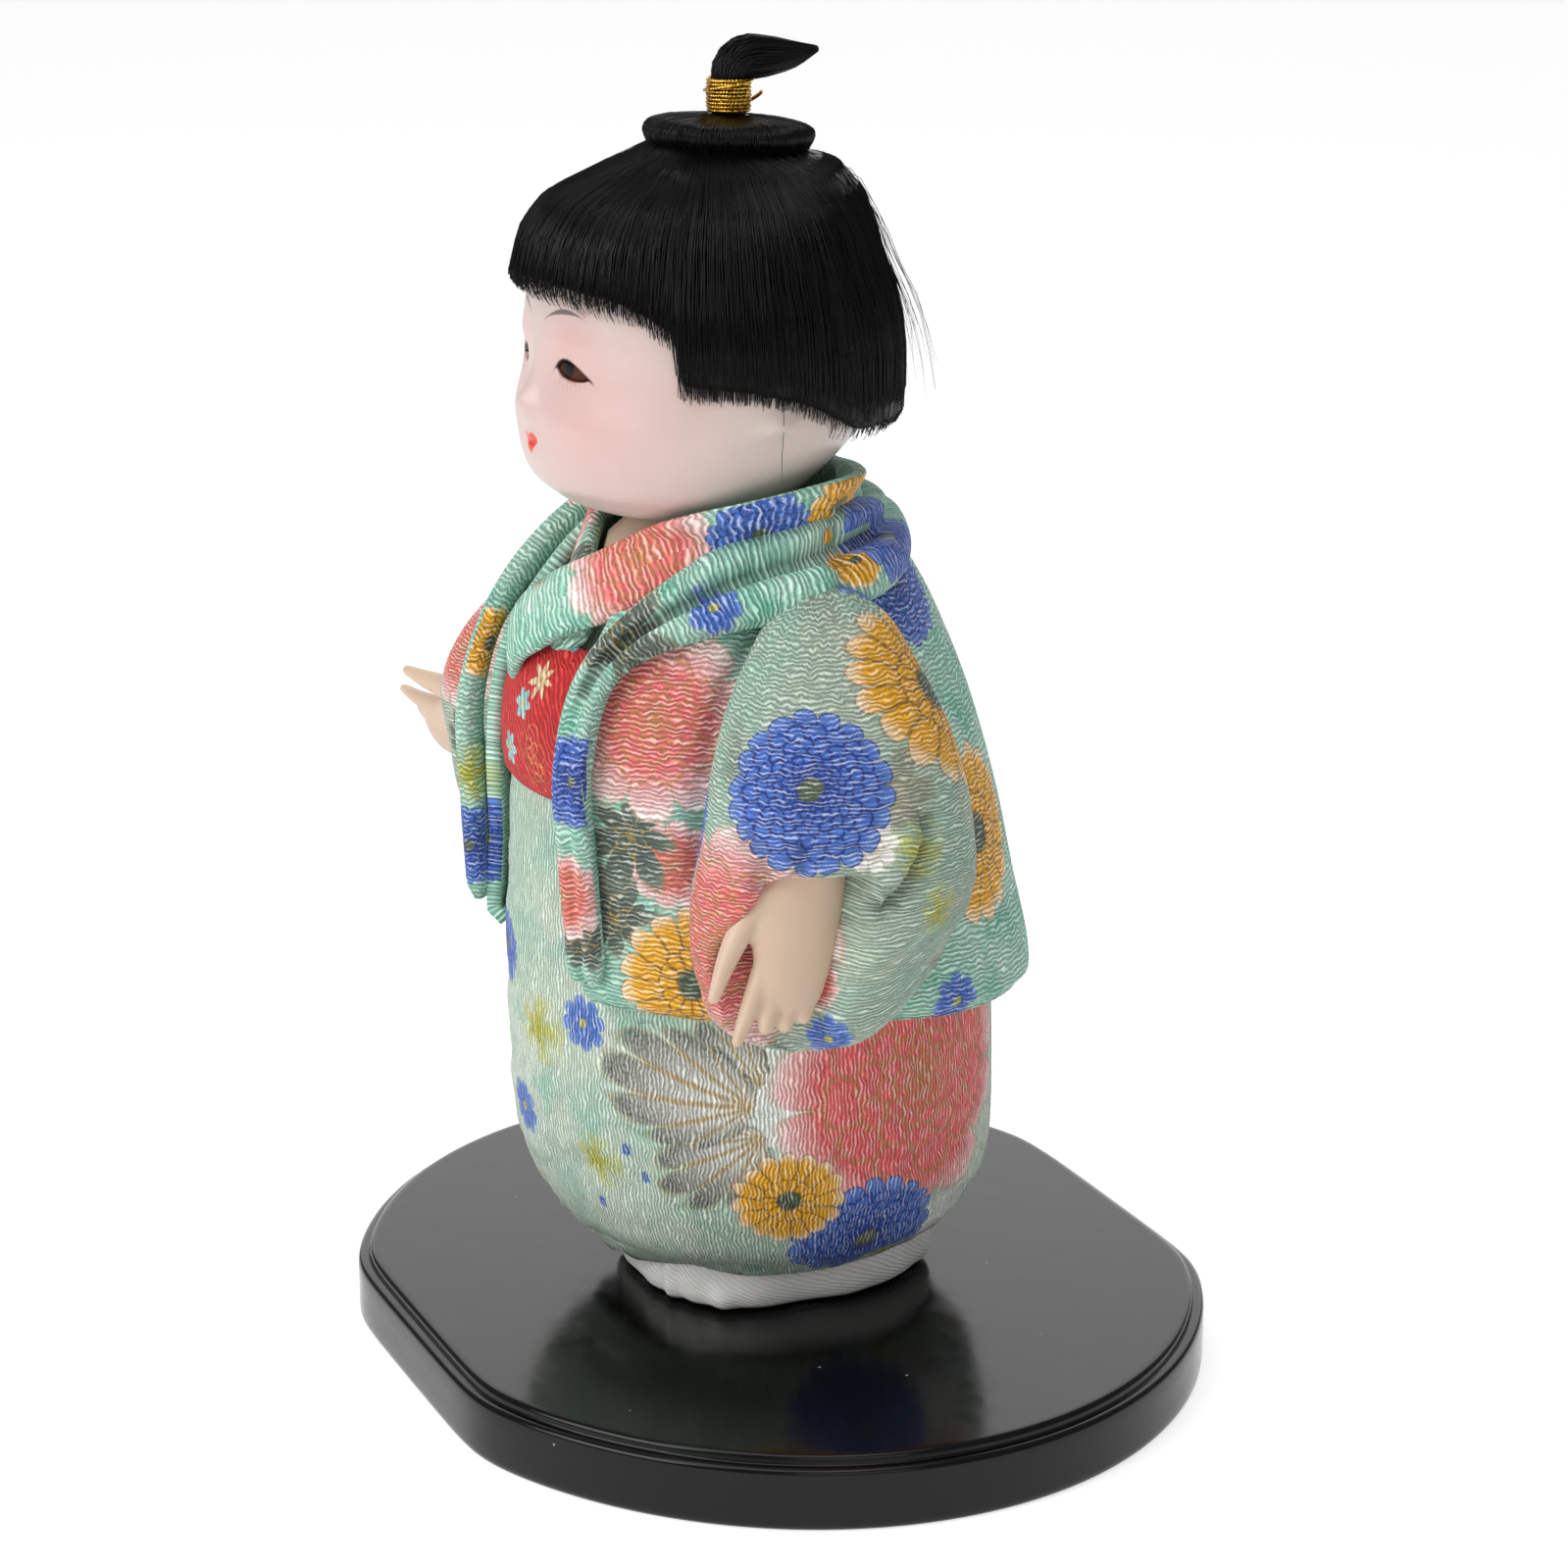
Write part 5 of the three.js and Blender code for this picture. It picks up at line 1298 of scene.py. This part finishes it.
EDGE_H = [170.8, 168.6, 164.8, 156.9, 155.6, 153, 149.3, 148.4, 148]


def hair_values(h):
    return head_form(min(max(h, WIDEST), SCALP))


def hair_edge(turn):
    """The height of the cut edge."""
    return float(np.interp(oval_point(hair_values(160), turn, 2.3)[1], EDGE_Y, EDGE_H))


def hair_stand(turn, h, edge):
    """How far hair stands off: full on the crown and in front, tucked in at its ends."""
    front = 0.5 - 0.5 * math.sin(turn)
    tuck = 0.8 * max(0.0, 1 - (h - edge) / 2.2) ** 2 + 0.9 * math.exp(-((h - 174) / 6) ** 2)
    return 1.5 + (0.4 + 1.3 * front) * ease(160, 176, h) + 2.7 * ease(172, 185, h) - tuck


def hair_point(turn, h, lift, edge):
    x, y = oval_point(hair_values(h), turn, hair_stand(turn, h, edge) + lift)
    if h > SCALP:
        share = max(0.0, (CROWN - h) / (CROWN - SCALP)) ** 0.5
        x, y = x * share, -11.5 + (y + 11.5) * share
    far = math.hypot(x, y + 8)
    return x, y, h + (2.1 + 0.9 * math.sin(turn)) * ease(2, 12, far) * (1 - ease(17, 25, far))


def cap_place(u, v):
    turn = from_back(u)
    edge = hair_edge(turn) + 1.5 - 1.3 * ease(0.1, 0.5, math.sin(turn))
    if v <= CAP_TURN:
        h = edge + (CROWN - edge) * math.cos(math.pi / 2 * v / CAP_TURN)
        return hair_point(turn, h, -0.35, edge)
    inward = (v - CAP_TURN) / (1 - CAP_TURN)
    lift = -0.35 - 1.3 * ease(0, 0.5, inward)
    return hair_point(turn, edge + 8 * ease(0.3, 1, inward), lift, edge)


cap = skin("hair_cap_combed", 240, 64, cap_place, 210, 50)
dressed(cap, "head", "black_hair", hair, "hair_cap")

# %% [markdown]
# A coat of fine strands lies on the cap, with ragged ends and a few stray hairs. Each strand is
# a tapered thread, made by a curve with a bevel and kept as mesh. The strands are thicker than
# real ones and fewer, because a real head of hair is too fine to show.

# %% Hair strands


def threads(name, paths, radius, ends=0.35):
    """Many thin four-sided threads in one mesh, tapered at their far ends."""
    curve = bpy.data.curves.new(name, "CURVE")
    curve.dimensions = "3D"
    curve.bevel_depth = radius * MM
    curve.bevel_resolution = 0
    curve.use_fill_caps = True
    for path in paths:
        spline = curve.splines.new("POLY")
        spline.points.add(len(path) - 1)
        points = np.array(path, float) + (0, 0, BOARD_TOP)
        spline.points.foreach_set("co", np.c_[points * MM, np.ones(len(path))].ravel())
        taper = np.minimum(1, ends + (1 - ends) * np.linspace(4, 0, len(path)))
        spline.points.foreach_set("radius", taper)
    holder = bpy.data.objects.new(name + "_line", curve)
    scene.collection.objects.link(holder)
    graph = bpy.context.evaluated_depsgraph_get()
    mesh = bpy.data.meshes.new_from_object(holder.evaluated_get(graph), depsgraph=graph)
    bpy.data.objects.remove(holder)
    mesh.name = name
    return shown(name, mesh)


def strand(turn, lift, drop, sway, steps=12):
    """A path from the crown to the edge, which drop lifts or lowers."""
    edge = hair_edge(turn + draw.gauss(0, 0.012)) + drop
    path = []
    for i in range(steps + 1):
        h = edge + (CROWN - 1.4 - edge) * math.cos(math.pi / 2 * i / steps)
        lean = turn + sway * math.sin(math.pi * i / steps) * 0.02
        path.append(hair_point(lean, h, lift * (0.3 + 0.7 * i / steps), edge - drop))
    return path


STRANDS = 2600
STRAND_RADIUS = 0.13
draw = random.Random(4)
halves = [], []
for number in range(STRANDS):
    turn = FULL_TURN * (number + draw.random()) / STRANDS
    drop = draw.gauss(0, 0.7) if draw.random() < 0.88 else -draw.uniform(0.8, 2.6)
    halves[number % 2].append(strand(turn, draw.uniform(-0.7, 0.15), drop, draw.gauss(0, 1)))
for name, paths in zip(("hair_strands_one", "hair_strands_two"), halves[::-1]):
    dressed(threads(name, paths, STRAND_RADIUS), "head", "black_hair", hair)

# %% [markdown]
# Stray hairs stand off, most of them at the back left, and one loose hair hangs below the ear.
# They start as ordinary strands that are bent away from the head.

# %% Stray hairs
STRAYS, BACK_STRAYS, STRAY_STEPS = 46, 36, 10
strays = []
for number in range(STRAYS):
    turn = draw.uniform(0.1, 1.1) if number < BACK_STRAYS else draw.uniform(0, 6.28)
    base = strand(turn, 0.1, draw.uniform(2, 16), draw.gauss(0, 2), STRAY_STEPS)
    reach = draw.uniform(1.0, 7.5)
    path = []
    for i, (x, y, h) in enumerate(base):
        bend = 0.022 * reach * (i / STRAY_STEPS) ** 2
        path.append((x + x * bend, y + (y - NECK_Y) * bend, h + draw.gauss(0, 0.2)))
    strays.append(path)
strays.append([(32.6, -13.4, 156), (32.3, -13.3, 151), (32.1, -13.5, 147), (31.8, -13.4, 142.5)])
dressed(threads("hair_strays", strays, 0.05), "head", "black_hair", hair)

# %% [markdown]
# On the crown sits a flat knot: hair laid out over a disc and tucked under its rim. The disc is a
# turned profile, a little lumpy and tilted, under strands of its own.

# %% Topknot disc
KNOT_Y = -8.0
DISC_TOP = 195.3
TILT = math.radians(3)
DISC_STRANDS = 420
# radius and height, from the middle below to the middle on top
DISC_PROFILE = [
    (0.01, 188.6), (9, 188.8), (12, 189.3), (12.6, 191.0), (13.1, 191.9), (13.3, 192.7),
    (13.0, 193.5), (12.2, 194.0), (10.6, 194.4), (8, 194.7), (5, 195.0), (3.6, 195.3),
    (0.01, 195.3),
]


def disc_place(u, v):
    radius, h = along_profile(DISC_PROFILE, v)
    turn = FULL_TURN * u
    radius *= 1 + 0.012 * math.sin(7 * turn) + 0.008 * math.sin(17 * turn + 1)
    y, rise = radius * math.sin(turn), h - DISC_TOP
    c, s = math.cos(TILT), math.sin(TILT)
    return radius * math.cos(turn), KNOT_Y + y * c + rise * s, DISC_TOP + rise * c - y * s


disc = skin("topknot_disc_combed", 160, 48, disc_place, 92, 40)
dressed(disc, "head", "black_hair", hair, "topknot_disc")
rim_paths = []
for number in range(DISC_STRANDS):
    u = (number + draw.random()) / DISC_STRANDS
    first = draw.uniform(0.2, 0.28)
    path = []
    for i in range(11):
        x, y, h = disc_place(u + draw.gauss(0, 0.0006), first + (0.92 - first) * i / 10)
        k = 1 + draw.uniform(0.004, 0.02)
        path.append((x * k, KNOT_Y + (y - KNOT_Y) * k, h + draw.uniform(0, 0.12)))
    rim_paths.append(path)
strands = threads("topknot_disc_strands", rim_paths, STRAND_RADIUS)
dressed(strands, "head", "black_hair", hair)

# %% [markdown]
# From the middle of the knot a short tail rises, bound by gold thread, and curls back to a split
# tip. A round section is carried along a run, and the strands end at different lengths.

# %% Topknot tail
TIE_TOP = 201.2
TAIL_STRANDS, TAIL_STEPS = 320, 12
# back from the knot's middle, and height
TAIL = [(0, 195.2), (0, 198.5), (0, TIE_TOP), (0.3, TIE_TOP + 1.4), (1.8, TIE_TOP + 2.5),
        (6, TIE_TOP + 2.8), (11, TIE_TOP + 2.9), (15.4, TIE_TOP + 3.6)]
tail_run = run_of([(0, KNOT_Y + y, h) for y, h in TAIL])
tail_radius = outline([[0, 2.6], [0.14, 2.6], [0.27, 2.7], [0.36, 3.1], [0.46, 3.4], [0.62, 3.0],
                       [0.82, 2.0], [1, 0.5]])


def tail_place(u, v, size=0.9):
    along = (tail_run(min(v + 0.02, 1)) - tail_run(max(v - 0.02, 0))).normalized()
    side = Vector((1, 0, 0))
    other = along.cross(side).normalized()
    radius = float(tail_radius(v)[0]) * size
    c, s = math.cos(FULL_TURN * u), math.sin(FULL_TURN * u)
    return tuple(tail_run(v) + side * radius * 0.85 * c + other * radius * s)


tail = skin("topknot_tail_combed", 48, 60, tail_place, 16, 30)
dressed(tail, "head", "black_hair", hair, "topknot_tail")
tail_paths = []
steps = [i / TAIL_STEPS for i in range(TAIL_STEPS + 1)]
for _ in range(TAIL_STRANDS):
    u = draw.random()
    size = draw.uniform(0.9, 1.03)
    last = draw.uniform(0.78, 1.0)
    drift = draw.gauss(0, 0.12) / FULL_TURN
    tail_paths.append([tail_place(u + drift * t, last * t, size) for t in steps])
dressed(threads("topknot_tail_strands", tail_paths, 0.11), "head", "black_hair", hair)

# %% [markdown]
# The tie is one gold thread: nine turns up the tail, one loose turn back over them, and a free
# end that stands off. It is a single winding, because a real thread has no breaks.

# %% Gold tie
# lame, a metal foil round a core: its colour is noise between painted bright gold glints and painted brown
# shadows
gold, n, into = new_material("gold_lame_thread", Metallic=1.0, Roughness=0.22)
here = in_mm(n)
glint = n("MapRange", n("TexNoise", here, Scale=2.4, Detail=2.0), 0.35, 0.65)
ply = n("TexWave", here, out=1, bands_direction="DIAGONAL", Scale=ONE_WAVE / 0.35, Distortion=1.0)
into(Base_Color=n("Mix:RGBA", glint, "#8f5c08", "#ffd45e"),
     Normal=n("Bump", Strength=0.5, Distance=0.0001, Height=ply))
LOOPS, STEPS, PITCH, THREAD = 9, 28, 0.58, 0.6
OVER_TURN = 3.85  # radius of the loose turn
winding = []


def wind(radius, turn, h):
    winding.append((radius * math.sin(turn), KNOT_Y + radius * math.cos(turn), h))


for i in range(LOOPS * STEPS + 1):
    turn = FULL_TURN * i / STEPS
    slack = 0.14 * noise.noise(Vector((turn * 0.35, 4, 0)))
    radius = 3.0 + THREAD / 2 + 0.12 * math.sin(math.pi * i / (LOOPS * STEPS)) + slack
    wind(radius, turn, 195.9 + PITCH * i / STEPS + 0.1 * math.sin(turn + 1))
for i in range(1, 25):
    wind(OVER_TURN, FULL_TURN * i / 24, winding[-1][2] - 0.16)
for i in range(1, 8):
    wind(OVER_TURN + 0.2 * i, 0.09 * i, winding[-1][2] + 0.22)
tie = threads("gold_tie_wound", [winding], THREAD / 2, 1.0)
dressed(tie, "head", "gold_thread", gold, "gold_tie")

# %% [markdown]
# The hands are cast in pale vinyl, with a mitten-like palm and short tapered fingers. Palm and
# fingers are first laid out as closed tubes that overlap, in the hand's own directions, so that
# one table serves the hanging left hand and the held-out right one.

# %% Palm and fingers
# cast vinyl: matt flesh colour that lets a little light in
vinyl, n, into = new_material(
    "cast_vinyl", Roughness=0.42, Subsurface_Weight=0.15, Subsurface_Scale=0.002)
here = in_mm(n)
cast = n("TexNoise", here, Scale=0.22, Detail=3.0)
pits = n("TexNoise", here, Scale=1.4, Detail=3.0)
into(Base_Color=n("Mix:RGBA", cast, "#c7ad95", "#d1b8a1"),
     Normal=n("Bump", Strength=0.12, Distance=0.0002, Height=pits))
# along the hand, middle to the thumb's side, half width, half thickness
PALM = outline([[-6, 0, 5.4, 4.2], [0, 0, 6.6, 4.5], [5, 0.2, 7.5, 4.2], [9, 0.2, 7.5, 3.8],
                [12, -0.3, 6.9, 3.4], [16, -0.8, 6.0, 3.0], [19.5, -0.8, 5.2, 2.5],
                [21.5, -0.8, 3.8, 1.7]])
# to the thumb's side, along the hand, up from the palm, radius
FINGERS = [
    [(3.0, 12, 0, 2.0), (3.9, 18, 0.2, 1.8), (4.9, 23, 0, 1.5), (6.0, 27.4, -0.6, 0.95)],
    [(1.2, 17, 0, 2.0), (1.5, 21.5, -0.2, 1.75), (2.0, 24.6, -0.9, 1.2)],
    [(-1.6, 17, 0, 2.0), (-1.5, 21.2, -0.2, 1.75), (-1.0, 23.9, -1.0, 1.2)],
    [(-4.3, 15.5, 0, 1.9), (-4.3, 19.4, -0.1, 1.65), (-3.8, 22.2, -1.0, 1.15)],
    [(5.0, 4, 0, 3.0), (7.8, 9.5, 0.4, 2.3), (9.6, 16, 0.6, 1.7), (10.7, 21.6, 0.2, 1.0)],
]
# wrist, where the hand points, the thumb's side, and which way the palm's back turns
HANDS = {
    "left": (Vector((58, -21.5, 90)), Vector((0.195, -0.293, -0.937)), Vector((0, -1, 0)), 1),
    "right": (RIGHT_WRIST, RIGHT_POINTING, Vector((0.1, -0.35, 0.93)), -1),
}
TIP_START = 0.9  # from this share a finger rounds off


def palm_place(u, v):
    ahead = -6 + 27.5 * v
    middle, wide, thick = PALM(ahead)
    turn = FULL_TURN * u
    return middle + wide * math.cos(turn), ahead, thick * math.sin(turn)


def finger_rule(points):
    """The rule that places one finger's points."""
    run = run_of([p[:3] for p in points])
    sizes = outline([[i / (len(points) - 1), p[3]] for i, p in enumerate(points)])

    def place(u, v):
        share = min(v / TIP_START, 1)
        past = max(0.0, (v - TIP_START) / (1 - TIP_START))
        aside, ahead, lift = run(share)
        radius = float(sizes(share)[0])
        tip = radius * math.sqrt(max(0.0, 1 - past ** 2))
        turn = FULL_TURN * u
        return aside + tip * math.cos(turn), ahead + radius * past, lift + tip * math.sin(turn)

    return place


def hand_meshes(side):
    """Palm and fingers as closed tubes that overlap, ready to be merged."""
    wrist, along, thumb, sign = HANDS[side]
    along = along.normalized()
    thumb = (thumb - along * thumb.dot(along)).normalized()
    up = along.cross(thumb) * sign

    def tube(around, place):
        def in_frame(u, v):
            aside, ahead, lift = place(u, v)
            return wrist + along * ahead + thumb * aside + up * lift

        part = skin("tube", around, 30, in_frame)
        mesh = part.data
        bpy.data.objects.remove(part)
        return mesh

    return [tube(32, palm_place)] + [tube(16, finger_rule(points)) for points in FINGERS]


print("tubes in a hand:", 1 + len(FINGERS))

# %% [markdown]
# Fine cells merge the tubes into one skin, and a few rounds of smoothing let the joins flow, as
# in a casting. The stuffed body and the cotton roll round each arm wire are hidden, so softened
# copies of their solids in muslin are enough. Its threads are drawn half a millimetre apart,
# coarser than life.

# %% Cast hands and hidden wadding
# cotton muslin: matt, unbleached, with an open weave
muslin, n, into = new_material("cotton_muslin", Roughness=0.95, Sheen_Weight=0.2)
here = in_mm(n)
warp, weft = [n("TexWave", here, out=1, bands_direction=axis, Scale=ONE_WAVE / 0.5) for axis in "XZ"]
cross = n("Math:MULTIPLY", warp, weft)
# painted shade and highlight: the colour is lighter where the threads cross and darker between them
into(Base_Color=n("Mix:RGBA", cross, "#cfc4ab", "#e3dac6"),
     Normal=n("Bump", Strength=0.3, Distance=0.0002, Height=cross))


def softened(meshes, name, voxel, rounds):
    """Merged copies of meshes, remeshed in cells of voxel mm and smoothed into one skin."""
    bm = bmesh.new()
    for mesh in meshes:
        bm.from_mesh(mesh)
    bmesh.ops.remove_doubles(bm, verts=bm.verts, dist=1e-6)
    piece = finished(name, bm)
    cells = piece.modifiers.new("cells", "REMESH")
    cells.mode = "VOXEL"
    cells.voxel_size = voxel * MM
    made_real(piece)
    bm = bmesh.new()
    bm.from_mesh(piece.data)
    for _ in range(rounds):
        bmesh.ops.smooth_vert(bm, verts=bm.verts, factor=0.5,
                              use_axis_x=True, use_axis_y=True, use_axis_z=True)
    bm.to_mesh(piece.data)
    bm.free()
    return piece


for side in ("left", "right"):
    hand = softened(hand_meshes(side), f"{side}_hand_cast", 0.4, 4)
    dressed(hand, f"{side}_hand", "pale_vinyl", vinyl, f"{side}_hand")
    pad = softened([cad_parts[f"{side}_arm_pad"].data], f"{side}_arm_wadding", 0.8, 3)
    dressed(pad, f"{side}_arm", "stuffing", muslin, f"{side}_arm_pad")
core = softened([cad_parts["body_core"].data], "body_wadding", 1.6, 4)
dressed(core, "stand", "stuffing", muslin, "body_core")

# %% [markdown]
# The board is wood under many coats of black lacquer: an oval with straight front and back, a
# stepped rim and a mirror-like top with a faint waviness and a little dust. A profile is carried
# round it, and a soft limit cuts the oval flat without a hard corner.

# %% Lacquered board
# urushi lacquer: deep black that mirrors the room, a little rubbed in places
lacquer, n, into = new_material("black_urushi_lacquer", Roughness=0.16, IOR=1.36)
here = in_mm(n)
dust = n("MapRange", n("TexVoronoi", here, Scale=0.12), 0.035, 0.02)
haze = n("TexNoise", here, Scale=0.03, Detail=3.0)
ripple = n("TexNoise", here, Scale=0.09, Detail=2.0)
rub = n("TexNoise", here, Scale=0.3, Detail=4.0)
colour = n("Mix:RGBA", haze, "#040404", "#090808")
into(Base_Color=n("Mix:RGBA", n("Math:MULTIPLY", dust, 0.6), colour, "#b9b6b0"),
     Normal=n("Bump", Strength=0.05, Distance=0.001, Height=ripple),
     Roughness=n("MapRange", rub, 0.3, 0.8, 0.12, 0.22))
BOARD_HALF = (80, 71, 66.5)  # half width, half depth of the oval, and of its flats
FLAT_SOFT = 1.1
MIDDLE = 79  # the inset that stands for the very middle
# inset and height, from the middle below to the middle on top
BOARD_PROFILE = [
    (MIDDLE, 0), (20, 0), (1.2, 0), (0.5, 0.25), (0.1, 0.8), (0, 1.6), (0, 4), (0, 7), (0, 9.4),
    (0.08, 9.9), (0.3, 10.25), (0.7, 10.42), (1.2, 10.46), (1.6, 10.46), (1.85, 10.5),
    (1.95, 10.8), (2.02, 11.3), (2.15, 11.65), (2.45, 11.9), (2.9, 12), (3.6, 12), (8, 12),
    (30, 12), (MIDDLE, 12),
]


def board_place(u, v):
    inset, h = BOARD_PROFILE[round(v * (len(BOARD_PROFILE) - 1))]
    turn = FULL_TURN * u
    if inset == MIDDLE:
        return 0.004 * math.cos(turn), 0.0031 * math.sin(turn), h - BOARD_TOP
    half_x, half_y, flat = [half - inset for half in BOARD_HALF]
    y = half_y * math.sin(turn)
    limited = flat - FLAT_SOFT * math.log(1 + math.exp((flat - abs(y)) / FLAT_SOFT))
    return half_x * math.cos(turn), math.copysign(limited, y), h - BOARD_TOP


board = skin("lacquered_board", 240, len(BOARD_PROFILE) - 1, board_place)
dressed(board, "stand", "black_lacquer", lacquer, "base_board")

# %% [markdown]
# The rest keep their solids: two steel screws under the board, the wooden sole block and neck
# peg, the steel wires in the arms and the vinyl neck. They only get real materials.

# %% Screws, wood and wire
# brushed steel: grey metal, duller along the brushing
steel, n, into = new_material("brushed_steel", Metallic=1.0, Roughness=0.32)
brush = n("VectorMath:MULTIPLY", in_mm(n), (8.0, 8.0, 0.6))
brush = n("TexNoise", brush, Scale=1.0, Detail=3.0)
into(Base_Color=n("Mix:RGBA", brush, "#8f8f8c", "#b4b3af"),
     Roughness=n("MapRange", brush, 0.3, 0.7, 0.25, 0.42))
# bare magnolia wood: pale, matt, with long soft grain
timber, n, into = new_material("bare_magnolia_wood", Roughness=0.68)
grain = n("VectorMath:MULTIPLY", in_mm(n), (0.8, 0.12, 0.8))
grain = n("TexNoise", grain, Scale=1.0, Detail=4.0)
into(Base_Color=n("Mix:RGBA", grain, "#b98f5c", "#d8b988"),
     Normal=n("Bump", Strength=0.2, Distance=0.0002, Height=grain))
kept = {"base_screw_front": steel, "base_screw_rear": steel, "left_arm_wire": steel,
        "right_arm_wire": steel, "sole_block": timber, "neck_peg": timber, "neck": vinyl}
for node, material in kept.items():
    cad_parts[node].data.materials.clear()
    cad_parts[node].data.materials.append(material)
print("solids that keep their form:", *kept)
